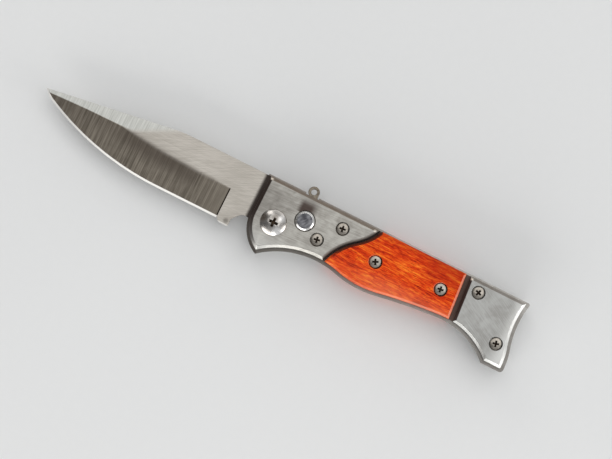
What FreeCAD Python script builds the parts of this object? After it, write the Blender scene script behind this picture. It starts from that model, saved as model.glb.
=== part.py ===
import FreeCAD
import Part
import Sketcher
import math
import os
import re

# A push-button folding knife, open, lying on its back side.
# Frame: origin on the pivot axis in the plane of the back faces, +X to the butt, +Y to the spine,
# +Z out of the show face. Lengths are in millimetres, joint_angle in degrees.

sizes = {
    # stack through the knife, from the back face up
    "scale_thickness": 4.0,
    "liner_thickness": 1.2,
    "blade_thickness": 2.8,
    "washer_thickness": 0.3,
    # outline of the liners
    "handle_front": 9.6,
    "handle_back": 99.7,
    "spine_height": 15.8,
    "guard_depth": 13.4,
    "guard_radius": 34.0,
    "guard_top": 5.55,
    "swell_depth": 8.02,
    "hollow_radius": 230.0,
    "hook_radius": 28.2,
    "hook_top": 4.1,
    "butt_depth": 12.1,
    "butt_radius": 36.7,
    "butt_round": 28.9,
    "butt_flare": 1.71,
    "butt_corner": 1.3,
    "spine_corner": 0.8,
    # bolsters, wood scales and pommels
    "reveal": 0.95,
    "scale_rise": 0.3,
    "butt_inset": 0.45,
    "metal_bevel": 1.1,
    "wood_bevel": 0.8,
    "joint_gap": 0.7,
    "pommel_gap": 1.7,
    "bolster_length": 30.9,
    "joint_height": 7.1,
    "joint_angle": 37.0,
    "joint_lower_radius": 23.0,
    "joint_upper_radius": 20.0,
    "pommel_length": 24.95,
    "pommel_lean": 2.4,
    # scale screws
    "screw_head_radius": 2.35,
    "screw_head_height": 1.6,
    "screw_crown": 0.35,
    "screw_shank_radius": 1.2,
    "screw_sink": 0.1,
    "screw_tip_gap": 0.1,
    "screw_recess_span": 2.9,
    "screw_recess_width": 0.62,
    "screw_recess_depth": 1.0,
    "bore_clearance": 0.2,
    "thread_clearance": 0.05,
    # pivot
    "barrel_radius": 2.5,
    "barrel_head_radius": 4.6,
    "barrel_head_thickness": 1.0,
    "barrel_sink": 0.2,
    "barrel_short": 0.4,
    "barrel_floor": 2.0,
    "barrel_clearance": 0.05,
    "pivot_clearance": 0.04,
    "pivot_shank_radius": 1.5,
    "pivot_shank_length": 7.0,
    "pivot_head_radius": 5.1,
    "pivot_head_height": 2.3,
    "pivot_rim": 0.6,
    "pivot_recess_span": 4.8,
    "pivot_recess_width": 1.0,
    "pivot_recess_depth": 1.7,
    "washer_front_radius": 6.4,
    "washer_back_radius": 8.2,
    # push button, plunger and spring
    "button_x": 10.3,
    "button_y": 5.75,
    "button_proud": 1.8,
    "button_chamfer": 0.7,
    "button_space": 2.2,
    "button_travel": 1.6,
    "button_play": 0.25,
    "button_bore_depth": 1.4,
    "button_recess_depth": 1.0,
    "button_wall": 0.6,
    "neck_radius": 1.6,
    "neck_fit": 0.02,
    "neck_short": 0.05,
    "hub_wall": 0.6,
    "lock_radius": 3.2,
    "lock_length": 1.6,
    "lock_clearance": 0.1,
    "lock_play": 0.3,
    "button_wire": 0.4,
    "button_coil_play": 0.225,
    "button_coil_end": 0.05,
    # opening spring in the back bolster
    "spring_web": 0.5,
    "spring_pocket_radius": 6.2,
    "coil_radius": 4.6,
    "spring_wire": 0.8,
    "spring_clearance": 0.15,
    "spring_leg": 5.4,
    "spring_bend": 0.9,
    "spring_hole_depth": 1.8,
    # blade
    "blade_reach": 99.2,
    "blade_step": 0.55,
    "edge_depth": 7.75,
    "clip_length": 53.2,
    "clip_round": 60.0,
    "tip_height": 7.2,
    "tip_run": 4.2,
    "tip_drop": 3.43,
    "belly_length": 49.0,
    "swedge_run": 17.0,
    "swedge_fall": 8.6,
    "edge_width": 0.8,
    "edge_thickness": 0.12,
    "plunge_gap": 0.5,
    "heel_length": 4.6,
    "heel_gap": 1.0,
    "heel_drop": 1.15,
    "heel_round": 1.3,
    "heel_corner": 0.6,
    "tang_gap": 1.87,
    "notch_play": 0.35,
    "notch_setback": 0.28,
    # stop pin and spacer
    "stop_x": 2.6,
    "stop_drop": 3.2,
    "stop_radius": 1.5,
    "stop_clearance": 0.02,
    "pin_clearance": 0.03,
    "spacer_depth": 3.6,
    "spacer_setback": 1.6,
    "spacer_pin_radius": 0.9,
    # safety catch
    "eye_x": 8.4,
    "eye_rise": 1.3,
    "eye_radius": 2.15,
    "eye_hole_radius": 1.1,
    "stem_width": 1.8,
    "safety_travel": 2.2,
    "safety_side_play": 0.15,
    "safety_gap": 0.75,
    "safety_notch_depth": 0.6,
    "foot_gap": 0.35,
    "foot_height": 2.3,
    "foot_wall": 1.25,
    "tongue_length": 3.15,
    "tongue_gap": 0.95,
    "safety_pin_offset": 4.45,
    "safety_pin_radius": 0.6,
    "safety_pin_play": 0.15,
    # how far cutting shapes run past what they cut
    "overrun": 2.0,
}

doc = FreeCAD.newDocument("pocket_knife")
sheet = doc.addObject("Spreadsheet::Sheet", "Sizes")
for row, (alias, value) in enumerate(sizes.items(), start=1):
    sheet.set(f"A{row}", alias)
    sheet.set(f"B{row}", str(value))
    sheet.setAlias(f"B{row}", alias)
doc.recompute()


def bound(text):
    """The expression with each size's name pointed at its cell."""
    return re.sub(r"[a-z_]+", lambda word: f"Sizes.{word[0]}" if word[0] in sizes else word[0], text)


def number(text):
    """The value of an expression in the sizes."""
    return float(sheet.evalExpression(text))


def bind(thing, expressions):
    for path, text in expressions.items():
        thing.setExpression(path, bound(text))


# Levels through the stack.
gap = "(blade_thickness + 2 * washer_thickness)"
gap_z = "(scale_thickness + liner_thickness)"
middle_z = f"({gap_z} + {gap} / 2)"
front_liner_z = f"({gap_z} + {gap})"
front_scale_z = f"({front_liner_z} + liner_thickness)"
face_z = f"({front_scale_z} + scale_thickness)"
liner_stack = f"({gap} + 2 * liner_thickness)"


# Sketch and feature helpers
def new_body(label, placement=None):
    body = doc.addObject("PartDesign::Body", label)
    body.Label = label
    bind(body, {f"Placement.Base.{axis}": text for axis, text in (placement or {}).items()})
    return body


def sketch_on(body, name, role="XY_Plane", lift="0"):
    sketch = body.newObject("Sketcher::SketchObject", name)
    plane = next(item for item in body.Origin.OriginFeatures if item.Role == role)
    sketch.AttachmentSupport = [(plane, "")]
    sketch.MapMode = "FlatFace"
    bind(sketch, {"AttachmentOffset.Base.z": lift})
    return sketch


def hold(sketch, kind, where, text):
    index = sketch.addConstraint(Sketcher.Constraint(kind, *where, number(text)))
    bind(sketch, {f"Constraints[{index}]": text})


def hold_point(sketch, where, x, y):
    hold(sketch, "DistanceX", (-1, 1, *where), x)
    hold(sketch, "DistanceY", (-1, 1, *where), y)


def arc_centre(here, there, radius, side):
    """Centre of the arc that bulges right (side 1) or left (side -1) of the way from here to there."""
    chord = there - here
    right = FreeCAD.Vector(chord.y, -chord.x, 0) / chord.Length
    reach = math.sqrt(radius**2 - chord.Length**2 / 4)
    return (here + there) / 2 - right * (side * reach)


def draw_outline(sketch, corners):
    """A closed outline. Each corner is x, y and, for an arc to the next corner, its radius and side."""
    up = FreeCAD.Vector(0, 0, 1)
    places = [FreeCAD.Vector(number(corner[0]), number(corner[1]), 0) for corner in corners]
    starts = []
    ends = []
    for index, corner in enumerate(corners):
        here = places[index]
        there = places[(index + 1) % len(places)]
        if len(corner) == 2:
            edge = sketch.addGeometry(Part.LineSegment(here, there))
            starts.append((edge, 1))
            ends.append((edge, 2))
            continue
        radius, side = corner[2:]
        centre = arc_centre(here, there, number(radius), side)
        turns = [math.atan2(spot.y - centre.y, spot.x - centre.x) for spot in (here, there)][::side]
        edge = sketch.addGeometry(Part.ArcOfCircle(Part.Circle(centre, up, number(radius)), *turns))
        hold(sketch, "Radius", (edge,), radius)
        starts.append((edge, 1 if side > 0 else 2))
        ends.append((edge, 2 if side > 0 else 1))
    for index, corner in enumerate(corners):
        sketch.addConstraint(Sketcher.Constraint("Coincident", *ends[index - 1], *starts[index]))
        hold_point(sketch, starts[index], *corner[:2])


def box_corners(left, low, right, high):
    return [(left, low), (right, low), (right, high), (left, high)]


def draw_circle(sketch, x, y, radius):
    centre = FreeCAD.Vector(number(x), number(y), 0)
    edge = sketch.addGeometry(Part.Circle(centre, FreeCAD.Vector(0, 0, 1), number(radius)))
    hold_point(sketch, (edge, 3), x, y)
    hold(sketch, "Radius", (edge,), radius)


def pad(body, sketch, name, height, symmetric=False):
    feature = body.newObject("PartDesign::Pad", name)
    feature.Profile = sketch
    feature.SideType = "Symmetric" if symmetric else "One side"
    bind(feature, {"Length": height})
    doc.recompute()
    return feature


def pocket(body, sketch, name, depth=None, upward=False):
    """Cuts the sketch downward (or upward) by a depth, or right through when no depth is given."""
    before = body.Shape.Volume
    feature = body.newObject("PartDesign::Pocket", name)
    feature.Profile = sketch
    if depth is None:
        feature.Type = "ThroughAll"
        feature.SideType = "Symmetric"
    else:
        feature.Reversed = upward
        bind(feature, {"Length": depth})
    doc.recompute()
    if not feature.Shape.Volume < before:
        raise RuntimeError(f"{body.Label}: {name} cuts nothing")
    return feature


def turned(body, name, corners):
    """A solid of revolution about Z from a half profile of radius and height."""
    sketch = sketch_on(body, f"{name}_profile", "XZ_Plane")
    draw_outline(sketch, corners)
    feature = body.newObject("PartDesign::Revolution", name)
    feature.Profile = sketch
    feature.ReferenceAxis = (sketch, ["V_Axis"])
    doc.recompute()
    return feature


def cross_recess(body, top, span, width, depth):
    """A tapered cross for the driver, wider at the top than at its floor."""
    floor_span_share = 0.4
    floor_width_share = 0.7
    sections = []
    for name, lift, span_share, width_share in (
        ("recess_mouth", top, 1, 1),
        ("recess_floor", f"{top} - {depth}", floor_span_share, floor_width_share),
    ):
        arm = f"({span} * {span_share} / 2)"
        side = f"({width} * {width_share} / 2)"
        quarter = [(arm, f"-{side}"), (arm, side), (side, side)]
        corners = []
        for turn in range(4):
            for x, y in quarter:
                spot = [(x, y), (f"-({y})", x), (f"-({x})", f"-({y})"), (y, f"-({x})")][turn]
                corners.append(spot)
        sketch = sketch_on(body, name, "XY_Plane", lift)
        draw_outline(sketch, corners)
        sections.append(sketch)
    loft = body.newObject("PartDesign::SubtractiveLoft", "driver_recess")
    loft.Profile = sections[0]
    loft.Sections = sections[1:]
    loft.Ruled = True
    doc.recompute()


def meeting(first, first_reach, second, second_reach):
    """The point that lies these distances from two points, on the right of the way between them."""
    across = f"({second[0]} - {first[0]})"
    up = f"({second[1]} - {first[1]})"
    apart = f"({across}^2 + {up}^2)"
    along = f"(({first_reach}^2 - {second_reach}^2 + {apart}) / (2 * {apart}))"
    aside = f"sqrt({first_reach}^2 / {apart} - {along}^2)"
    return (
        f"({first[0]} + {across} * {along} + {up} * {aside})",
        f"({first[1]} + {up} * {along} - {across} * {aside})",
    )


def on_the_way(start, end, share):
    """The point at this share of the way from one point to another."""
    return tuple(f"({first} + ({last} - {first}) * {share})" for first, last in zip(start, end))


# Outline of the handle, from the spine's front corner down the front edge and along the belly.
# The belly runs over the top of a guard circle, under a swell circle tangent to it, then along a
# wide hollow that touches the swell and the hook's circle.
guard_share = 0.2056
swell_share = 0.394
waist_share = 0.733
guard_x = f"({guard_share} * handle_back)"
swell_x = f"({swell_share} * handle_back)"
waist_x = f"({waist_share} * handle_back)"
guard_level = "(guard_radius + guard_top - swell_depth)"
swell_radius = (
    f"((({swell_x} - {guard_x})^2 + {guard_level}^2 - guard_radius^2) / (2 * (swell_depth - guard_top)))"
)
meet_share = f"(guard_radius / (guard_radius + {swell_radius}))"
meet = (
    f"({guard_x} + ({swell_x} - {guard_x}) * {meet_share})",
    f"(-guard_top - guard_radius + ({swell_radius} + {guard_level}) * {meet_share})",
)
swell_centre = (swell_x, f"({swell_radius} - swell_depth)")
hook_centre = (waist_x, "(-hook_top - hook_radius)")
hollow_centre = meeting(
    swell_centre, f"(hollow_radius + {swell_radius})", hook_centre, "(hollow_radius - hook_radius)"
)
swell_end = on_the_way(swell_centre, hollow_centre, f"{swell_radius} / (hollow_radius + {swell_radius})")
waist = on_the_way(hollow_centre, hook_centre, "hollow_radius / (hollow_radius - hook_radius)")
guard_tip_x = f"({guard_x} - sqrt(guard_radius^2 - (guard_radius + guard_top - guard_depth)^2))"
front_run = f"({guard_tip_x} + handle_front)"
front_radius = f"(({front_run}^2 + guard_depth^2) / (2 * {front_run}))"
hook_x = f"({waist_x} + sqrt(hook_radius^2 - (hook_radius + hook_top - butt_depth)^2))"
butt_x = "(handle_back + butt_flare)"
# The butt is hollow under the spine and round above its lower corner.
round_centre = (f"({butt_x} - butt_round)", "(butt_corner - butt_depth)")
butt_top = ("handle_back", "spine_height")
butt_centre = meeting(round_centre, "(butt_round + butt_radius)", butt_top, "butt_radius")
butt_edge = [
    (butt_x, round_centre[1], "butt_round", 1),
    (*on_the_way(round_centre, butt_centre, "butt_round / (butt_round + butt_radius)"), "butt_radius", -1),
]
corner_y = "(spine_height - spine_corner)"
corner_x = f"({butt_centre[0]} - sqrt(butt_radius^2 - ({corner_y} - {butt_centre[1]})^2))"
front_and_belly = [
    ("-handle_front", "spine_height"),
    ("-handle_front", "0", front_radius, 1),
    (guard_tip_x, "-guard_depth", "guard_radius", -1),
    (*meet, swell_radius, 1),
    (*swell_end, "hollow_radius", -1),
    (*waist, "hook_radius", -1),
    (hook_x, "-butt_depth"),
]
handle_corners = [
    *front_and_belly,
    (f"{butt_x} - butt_corner", "-butt_depth", "butt_corner", 1),
    *butt_edge,
    (corner_x, corner_y, "spine_corner", 1),
    ("handle_back - spine_corner", "spine_height"),
]
butt_foot_x = f"({round_centre[0]} + sqrt(butt_round^2 - butt_corner^2))"
scale_butt = [(butt_foot_x, "-butt_depth", "butt_round", 1), butt_edge[1], butt_top]
scale_edge = front_and_belly + [(f"{x} - butt_inset", *rest) for x, *rest in scale_butt]
scale_corners = [(x, f"{y} + scale_rise", *arc) for x, y, *arc in scale_edge]

# The joint between bolster and wood is an S of two arcs that share a tangent half way up.
joint_end_shares = (-0.365, 0.960)
lower_centre = (
    "(bolster_length + joint_lower_radius * sin(joint_angle))",
    "(joint_height - joint_lower_radius * cos(joint_angle))",
)
upper_centre = (
    "(bolster_length - joint_upper_radius * sin(joint_angle))",
    "(joint_height + joint_upper_radius * cos(joint_angle))",
)
joint_foot_y = f"({joint_end_shares[0]} * spine_height)"
joint_head_y = f"({joint_end_shares[1]} * spine_height)"
joint_foot_x = f"({lower_centre[0]} - sqrt(joint_lower_radius^2 - ({joint_foot_y} - {lower_centre[1]})^2))"
joint_head_x = f"({upper_centre[0]} + sqrt(joint_upper_radius^2 - ({joint_head_y} - {upper_centre[1]})^2))"
pommel_start = "(handle_back - pommel_length)"
pommel_foot_x = f"({pommel_start} + pommel_lean)"
scale_zones = {
    "bolster": [
        ("-handle_front", "spine_height"),
        ("-handle_front", "-guard_depth"),
        (joint_foot_x, "-guard_depth"),
        (joint_foot_x, joint_foot_y, "joint_lower_radius", -1),
        ("bolster_length", "joint_height", "joint_upper_radius", 1),
        (joint_head_x, joint_head_y),
        (joint_head_x, "spine_height"),
    ],
    "wood_scale": [
        (f"{pommel_foot_x} - pommel_gap", "-guard_depth"),
        (f"{pommel_start} - pommel_gap", "spine_height"),
        (f"{joint_head_x} + joint_gap", "spine_height"),
        (f"{joint_head_x} + joint_gap", joint_head_y, "joint_upper_radius", -1),
        ("bolster_length + joint_gap", "joint_height", "joint_lower_radius", 1),
        (f"{joint_foot_x} + joint_gap", joint_foot_y),
        (f"{joint_foot_x} + joint_gap", "-guard_depth"),
    ],
    "pommel": [
        (pommel_start, "spine_height"),
        (pommel_foot_x, "-guard_depth"),
        (butt_x, "-guard_depth"),
        (butt_x, "spine_height"),
    ],
}

# Places of the scale screws: shares of the length of their scale and of the spine's height.
screw_shares = {
    "bolster": [(0.563, 0.095), (0.783, 0.595)],
    "wood_scale": [(0.221, 0.247), (0.821, 0.354)],
    "pommel": [(0.216, 0.684), (0.788, -0.209)],
}
scale_spans = {
    "bolster": ("0", "bolster_length"),
    "wood_scale": ("bolster_length", pommel_start),
    "pommel": (pommel_start, "handle_back"),
}
screw_places = {}
for piece, shares in screw_shares.items():
    first, last = scale_spans[piece]
    screw_places[piece] = [
        (f"({first} + {along} * ({last} - {first}))", f"({up} * spine_height)") for along, up in shares
    ]
all_screw_places = [place for places in screw_places.values() for place in places]

# Stop pin, spacer pins and the safety catch's pin.
stop_y = "(spine_height - stop_drop)"
pin_shares = (0.24, 0.55, 0.90)
pin_depth_share = 0.55
spacer_pin_y = f"(spine_height - {pin_depth_share} * spacer_depth)"
spacer_pin_places = [(f"({along} * handle_back)", spacer_pin_y) for along in pin_shares]
foot_y = "(spine_height - spacer_depth - foot_gap - foot_height / 2)"
stem_back = "(eye_x + eye_radius)"
stem_front = f"({stem_back} - stem_width)"
safety_pin_x = f"({stem_back} + safety_pin_offset)"

# Depths in the back bolster.
barrel_head_depth = "(barrel_sink + barrel_head_thickness)"
spring_floor_z = f"({barrel_head_depth} + spring_web)"
lock_top_z = f"({gap_z} - lock_clearance)"
lock_bottom_z = f"({lock_top_z} - lock_length)"
lock_floor_z = f"({lock_bottom_z} - button_travel - lock_play)"
cap_z = f"({front_scale_z} + button_space)"
barrel_hole = "(barrel_radius + barrel_clearance)"
screw_hole = "(screw_shank_radius + thread_clearance)"
plunger_hole = "(lock_radius + lock_play)"
button_hub_radius = "(neck_radius + hub_wall)"
button_coil_radius = f"({button_hub_radius} + button_coil_play + button_wire / 2)"
button_recess_radius = f"({button_coil_radius} + button_wire / 2 + button_coil_play)"
button_radius = f"({button_recess_radius} + button_wall)"


# Liners
def make_liner(side, level, pivot_hole, button_hole):
    body = new_body(f"liner_{side}", {"z": level})
    outline = sketch_on(body, f"liner_outline_{side}")
    draw_outline(outline, handle_corners)
    pad(body, outline, f"liner_plate_{side}", "liner_thickness")
    holes = sketch_on(body, f"liner_holes_{side}", "XY_Plane", "liner_thickness")
    draw_circle(holes, "0", "0", pivot_hole)
    draw_circle(holes, "button_x", "button_y", button_hole)
    draw_circle(holes, "stop_x", stop_y, "stop_radius + pin_clearance")
    draw_circle(holes, safety_pin_x, foot_y, "safety_pin_radius + pin_clearance")
    for x, y in spacer_pin_places:
        draw_circle(holes, x, y, "spacer_pin_radius + pin_clearance")
    for x, y in all_screw_places:
        draw_circle(holes, x, y, screw_hole)
    pocket(body, holes, f"liner_bores_{side}")
    notch = sketch_on(body, f"safety_notch_outline_{side}", "XY_Plane", "liner_thickness")
    notch_front = f"{stem_front} - safety_travel - safety_gap"
    notch_back = f"{stem_back} + safety_gap"
    notch_floor = "spine_height - safety_notch_depth"
    notch_top = "spine_height + overrun"
    draw_outline(notch, box_corners(notch_front, notch_floor, notch_back, notch_top))
    pocket(body, notch, f"safety_notch_{side}")
    return body


nodes = [
    make_liner("back", "scale_thickness", "spring_pocket_radius", plunger_hole),
    make_liner("front", front_liner_z, barrel_hole, "neck_radius + button_play"),
]


# Bolsters, wood scales and pommels are cut from one blank, set in from the liners' rim all round.
handle_outline = doc.addObject("Sketcher::SketchObject", "handle_outline")
draw_outline(handle_outline, scale_corners)
scale_outline = doc.addObject("Part::Offset2D", "scale_outline")
scale_outline.Source = handle_outline
scale_outline.Join = "Intersection"
bind(scale_outline, {"Value": "-reveal"})


def extruded(name, profile):
    solid = doc.addObject("Part::Extrusion", name)
    solid.Base = profile
    solid.DirMode = "Normal"
    solid.Solid = True
    bind(solid, {"LengthFwd": "scale_thickness"})
    return solid


def make_scale(piece, side, bevel):
    """One scale with its bevelled outer edges, screw bores and counterbores."""
    zone = doc.addObject("Sketcher::SketchObject", f"{piece}_{side}_zone")
    draw_outline(zone, scale_zones[piece])
    blank = doc.addObject("Part::Common", f"{piece}_{side}_blank")
    blank.Base = extruded(f"{piece}_{side}_slab", scale_outline)
    blank.Tool = extruded(f"{piece}_{side}_limit", zone)
    doc.recompute()
    front = side == "front"
    body = new_body(f"{piece}_{side}", {"z": front_scale_z} if front else {})
    body.BaseFeature = blank
    doc.recompute()
    faces = body.Tip.Shape.Faces
    outer = max(range(len(faces)), key=lambda index: faces[index].CenterOfMass.z * (1 if front else -1))
    edges = body.newObject("PartDesign::Chamfer", f"{piece}_{side}_bevel")
    edges.Base = (body.Group[0], [f"Face{outer + 1}"])
    bind(edges, {"Size": bevel})
    doc.recompute()
    outer_level = "scale_thickness" if front else "0"
    heads = sketch_on(body, f"{piece}_{side}_heads", "XY_Plane", outer_level)
    shanks = sketch_on(body, f"{piece}_{side}_shanks", "XY_Plane", outer_level)
    for x, y in screw_places[piece]:
        draw_circle(heads, x, y, "screw_head_radius + bore_clearance")
        draw_circle(shanks, x, y, screw_hole)
    pocket(body, heads, f"{piece}_{side}_counterbores", "screw_sink + screw_head_height", not front)
    pocket(body, shanks, f"{piece}_{side}_bores")
    return body


scale_bevels = {"bolster": "metal_bevel", "wood_scale": "wood_bevel", "pommel": "metal_bevel"}
scales = {}
for side in ("front", "back"):
    for piece, bevel in scale_bevels.items():
        scales[piece, side] = make_scale(piece, side, bevel)
nodes += scales.values()

# The front bolster lets the barrel and the button through.
front_bolster = scales["bolster", "front"]
openings = sketch_on(front_bolster, "front_openings", "XY_Plane", "scale_thickness")
draw_circle(openings, "0", "0", barrel_hole)
draw_circle(openings, "button_x", "button_y", f"{button_radius} + button_play")
pocket(front_bolster, openings, "front_bores")

# The back bolster holds the barrel's head outside, and the opening spring and the plunger inside.
back_bolster = scales["bolster", "back"]
barrel_seat = sketch_on(back_bolster, "barrel_seat_outline")
draw_circle(barrel_seat, "0", "0", "barrel_head_radius + barrel_clearance")
pocket(back_bolster, barrel_seat, "barrel_seat", barrel_head_depth, True)
barrel_bore = sketch_on(back_bolster, "barrel_bore_outline")
draw_circle(barrel_bore, "0", "0", barrel_hole)
pocket(back_bolster, barrel_bore, "barrel_bore")
spring_seat = sketch_on(back_bolster, "spring_seat_outline", "XY_Plane", "scale_thickness")
draw_circle(spring_seat, "0", "0", "spring_pocket_radius")
pocket(back_bolster, spring_seat, "spring_seat", f"scale_thickness - {spring_floor_z}")
leg_slot = sketch_on(back_bolster, "leg_slot_outline", "XY_Plane", "scale_thickness")
slot_front = "-coil_radius - spring_wire / 2 - spring_clearance"
slot_back = "-coil_radius + spring_wire / 2 + spring_clearance"
slot_end = "spring_leg + spring_clearance"
draw_outline(leg_slot, box_corners(slot_front, "0", slot_back, slot_end))
pocket(back_bolster, leg_slot, "leg_slot", f"scale_thickness - {spring_floor_z}")
plunger_seat = sketch_on(back_bolster, "plunger_seat_outline", "XY_Plane", "scale_thickness")
draw_circle(plunger_seat, "button_x", "button_y", plunger_hole)
pocket(back_bolster, plunger_seat, "plunger_seat", f"scale_thickness - {lock_floor_z}")


# Scale screws: one turned screw, set in place in pairs from either side.
screw = new_body("scale_screw")
screw_length = "(scale_thickness + liner_thickness - screw_tip_gap)"
head_under = "(screw_sink + screw_head_height)"
crown_radius = "((screw_head_radius^2 + screw_crown^2) / (2 * screw_crown))"
turned(
    screw,
    "screw_form",
    [
        ("0", f"-{screw_length}"),
        ("screw_shank_radius", f"-{screw_length}"),
        ("screw_shank_radius", f"-{head_under}"),
        ("screw_head_radius", f"-{head_under}"),
        ("screw_head_radius", "-(screw_sink + screw_crown)", crown_radius, 1),
        ("0", "-screw_sink"),
    ],
)
cross_recess(screw, "-screw_sink", "screw_recess_span", "screw_recess_width", "screw_recess_depth")


def make_screws(piece, label, side):
    links = []
    for index, (x, y) in enumerate(screw_places[piece]):
        link = doc.addObject("App::Link", f"{label}_{side}_{index + 1}")
        link.LinkedObject = screw
        if side == "back":
            link.Placement.Rotation = FreeCAD.Rotation(FreeCAD.Vector(1, 0, 0), 180)
        level = face_z if side == "front" else "0"
        bind(link, {"Placement.Base.x": x, "Placement.Base.y": y, "Placement.Base.z": level})
        links.append(link)
    group = doc.addObject("Part::Compound", f"{label}_{side}")
    group.Links = links
    return group


screw_labels = {"bolster": "bolster_screws", "wood_scale": "wood_screws", "pommel": "pommel_screws"}
for side in ("front", "back"):
    for piece, label in screw_labels.items():
        nodes.append(make_screws(piece, label, side))


# Pivot: a flanged barrel from the back, a domed screw from the front, a washer on either side of the tang.
barrel = new_body("pivot_barrel")
barrel_top = f"({face_z} - barrel_short)"
turned(
    barrel,
    "barrel_form",
    [
        ("0", "barrel_sink"),
        ("barrel_head_radius", "barrel_sink"),
        ("barrel_head_radius", barrel_head_depth),
        ("barrel_radius", barrel_head_depth),
        ("barrel_radius", barrel_top),
        ("pivot_shank_radius + thread_clearance", barrel_top),
        ("pivot_shank_radius + thread_clearance", "barrel_floor"),
        ("0", "barrel_floor"),
    ],
)
pivot_screw = new_body("pivot_screw", {"z": face_z})
dome = "(pivot_head_height - pivot_rim)"
turned(
    pivot_screw,
    "pivot_screw_form",
    [
        ("0", "-pivot_shank_length"),
        ("pivot_shank_radius", "-pivot_shank_length"),
        ("pivot_shank_radius", "0"),
        ("pivot_head_radius", "0"),
        ("pivot_head_radius", "pivot_rim", f"((pivot_head_radius^2 + {dome}^2) / (2 * {dome}))", 1),
        ("0", "pivot_head_height"),
    ],
)
cross_recess(
    pivot_screw, "pivot_head_height", "pivot_recess_span", "pivot_recess_width", "pivot_recess_depth"
)
nodes += [barrel, pivot_screw]


def make_washer(side, level, inner, outer):
    body = new_body(f"washer_{side}", {"z": level})
    ring = sketch_on(body, f"washer_outline_{side}")
    draw_circle(ring, "0", "0", outer)
    draw_circle(ring, "0", "0", inner)
    pad(body, ring, f"washer_ring_{side}", "washer_thickness")
    return body


nodes += [
    make_washer("front", f"{front_liner_z} - washer_thickness", barrel_hole, "washer_front_radius"),
    make_washer("back", gap_z, "spring_pocket_radius + barrel_clearance", "washer_back_radius"),
]


# Push button: a chamfered cap pressed on the plunger's neck.
button = new_body("push_button", {"x": "button_x", "y": "button_y", "z": cap_z})
button_top = "(scale_thickness - button_space + button_proud)"
neck_hole = "(neck_radius + neck_fit)"
turned(
    button,
    "button_form",
    [
        ("0", "button_bore_depth"),
        (neck_hole, "button_bore_depth"),
        (neck_hole, "0"),
        (button_hub_radius, "0"),
        (button_hub_radius, "button_recess_depth"),
        (button_recess_radius, "button_recess_depth"),
        (button_recess_radius, "0"),
        (button_radius, "0"),
        (button_radius, f"{button_top} - button_chamfer"),
        (f"{button_radius} - button_chamfer", button_top),
        ("0", button_top),
    ],
)
plunger = new_body("lock_plunger", {"x": "button_x", "y": "button_y"})
neck_top_z = f"({cap_z} + button_bore_depth - neck_short)"
turned(
    plunger,
    "plunger_form",
    [
        ("0", lock_bottom_z),
        ("lock_radius", lock_bottom_z),
        ("lock_radius", lock_top_z),
        ("neck_radius", lock_top_z),
        ("neck_radius", neck_top_z),
        ("0", neck_top_z),
    ],
)
nodes += [button, plunger]


# Pins and spacer between the liners
def make_pin(name, x, y, radius):
    pin = doc.addObject("Part::Cylinder", name)
    placement = {"Placement.Base.x": x, "Placement.Base.y": y, "Placement.Base.z": "scale_thickness"}
    bind(pin, {"Radius": radius, "Height": liner_stack, **placement})
    return pin


nodes += [
    make_pin("stop_pin", "stop_x", stop_y, "stop_radius"),
    make_pin("safety_pin", safety_pin_x, foot_y, "safety_pin_radius"),
]
spacer_pins = doc.addObject("Part::Compound", "spacer_pins")
spacer_pins.Links = [
    make_pin(f"spacer_pin_{index}", x, y, "spacer_pin_radius")
    for index, (x, y) in enumerate(spacer_pin_places, start=1)
]
spacer = new_body("back_spacer", {"z": gap_z})
spacer_outline = sketch_on(spacer, "spacer_outline")
spacer_front = f"{stem_back} + safety_gap"
spacer_end = "handle_back - spacer_setback"
spacer_under = "spine_height - spacer_depth"
draw_outline(spacer_outline, box_corners(spacer_front, spacer_under, spacer_end, "spine_height"))
pad(spacer, spacer_outline, "spacer_bar", gap)
spacer_holes = sketch_on(spacer, "spacer_holes", "XY_Plane", gap)
for x, y in spacer_pin_places:
    draw_circle(spacer_holes, x, y, "spacer_pin_radius + pin_clearance")
pocket(spacer, spacer_holes, "spacer_bores")
nodes += [spacer_pins, spacer]


# Safety catch: an eye above the spine on a stem, a foot that slides on its pin, a tongue by the plunger.
safety = new_body("safety_slide", {"z": f"{gap_z} + safety_side_play"})
safety_outline = sketch_on(safety, "safety_outline")
eye_y = "(spine_height + eye_rise)"
foot_top = f"{foot_y} + foot_height / 2"
foot_under = f"{foot_y} - foot_height / 2"
foot_end = f"{safety_pin_x} + safety_travel + safety_pin_radius + safety_pin_play + foot_wall"
tongue_front = f"{stem_back} - tongue_length"
tongue_under = "button_y + neck_radius + tongue_gap"
eye_foot = "sqrt(eye_radius^2 - (eye_radius - stem_width)^2)"
draw_outline(
    safety_outline,
    [
        (tongue_front, tongue_under),
        (stem_back, tongue_under),
        (stem_back, foot_under),
        (foot_end, foot_under),
        (foot_end, foot_top),
        (stem_back, foot_top),
        (stem_back, eye_y, "eye_radius", 1),
        ("eye_x", f"{eye_y} + eye_radius", "eye_radius", 1),
        ("eye_x - eye_radius", eye_y, "eye_radius", 1),
        (stem_front, f"{eye_y} - {eye_foot}"),
        (stem_front, foot_top),
        (tongue_front, foot_top),
    ],
)
pad(safety, safety_outline, "safety_plate", f"{gap} - 2 * safety_side_play")
safety_holes = sketch_on(safety, "safety_holes", "XY_Plane", gap)
draw_circle(safety_holes, "eye_x", eye_y, "eye_hole_radius")
slot_radius = "(safety_pin_radius + safety_pin_play)"
slot_far = f"{safety_pin_x} + safety_travel"
draw_outline(
    safety_holes,
    [
        (safety_pin_x, f"{foot_y} - {slot_radius}"),
        (slot_far, f"{foot_y} - {slot_radius}", slot_radius, 1),
        (f"{slot_far} + {slot_radius}", foot_y, slot_radius, 1),
        (slot_far, f"{foot_y} + {slot_radius}"),
        (safety_pin_x, f"{foot_y} + {slot_radius}", slot_radius, 1),
        (f"{safety_pin_x} - {slot_radius}", foot_y, slot_radius, 1),
    ],
)
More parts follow.
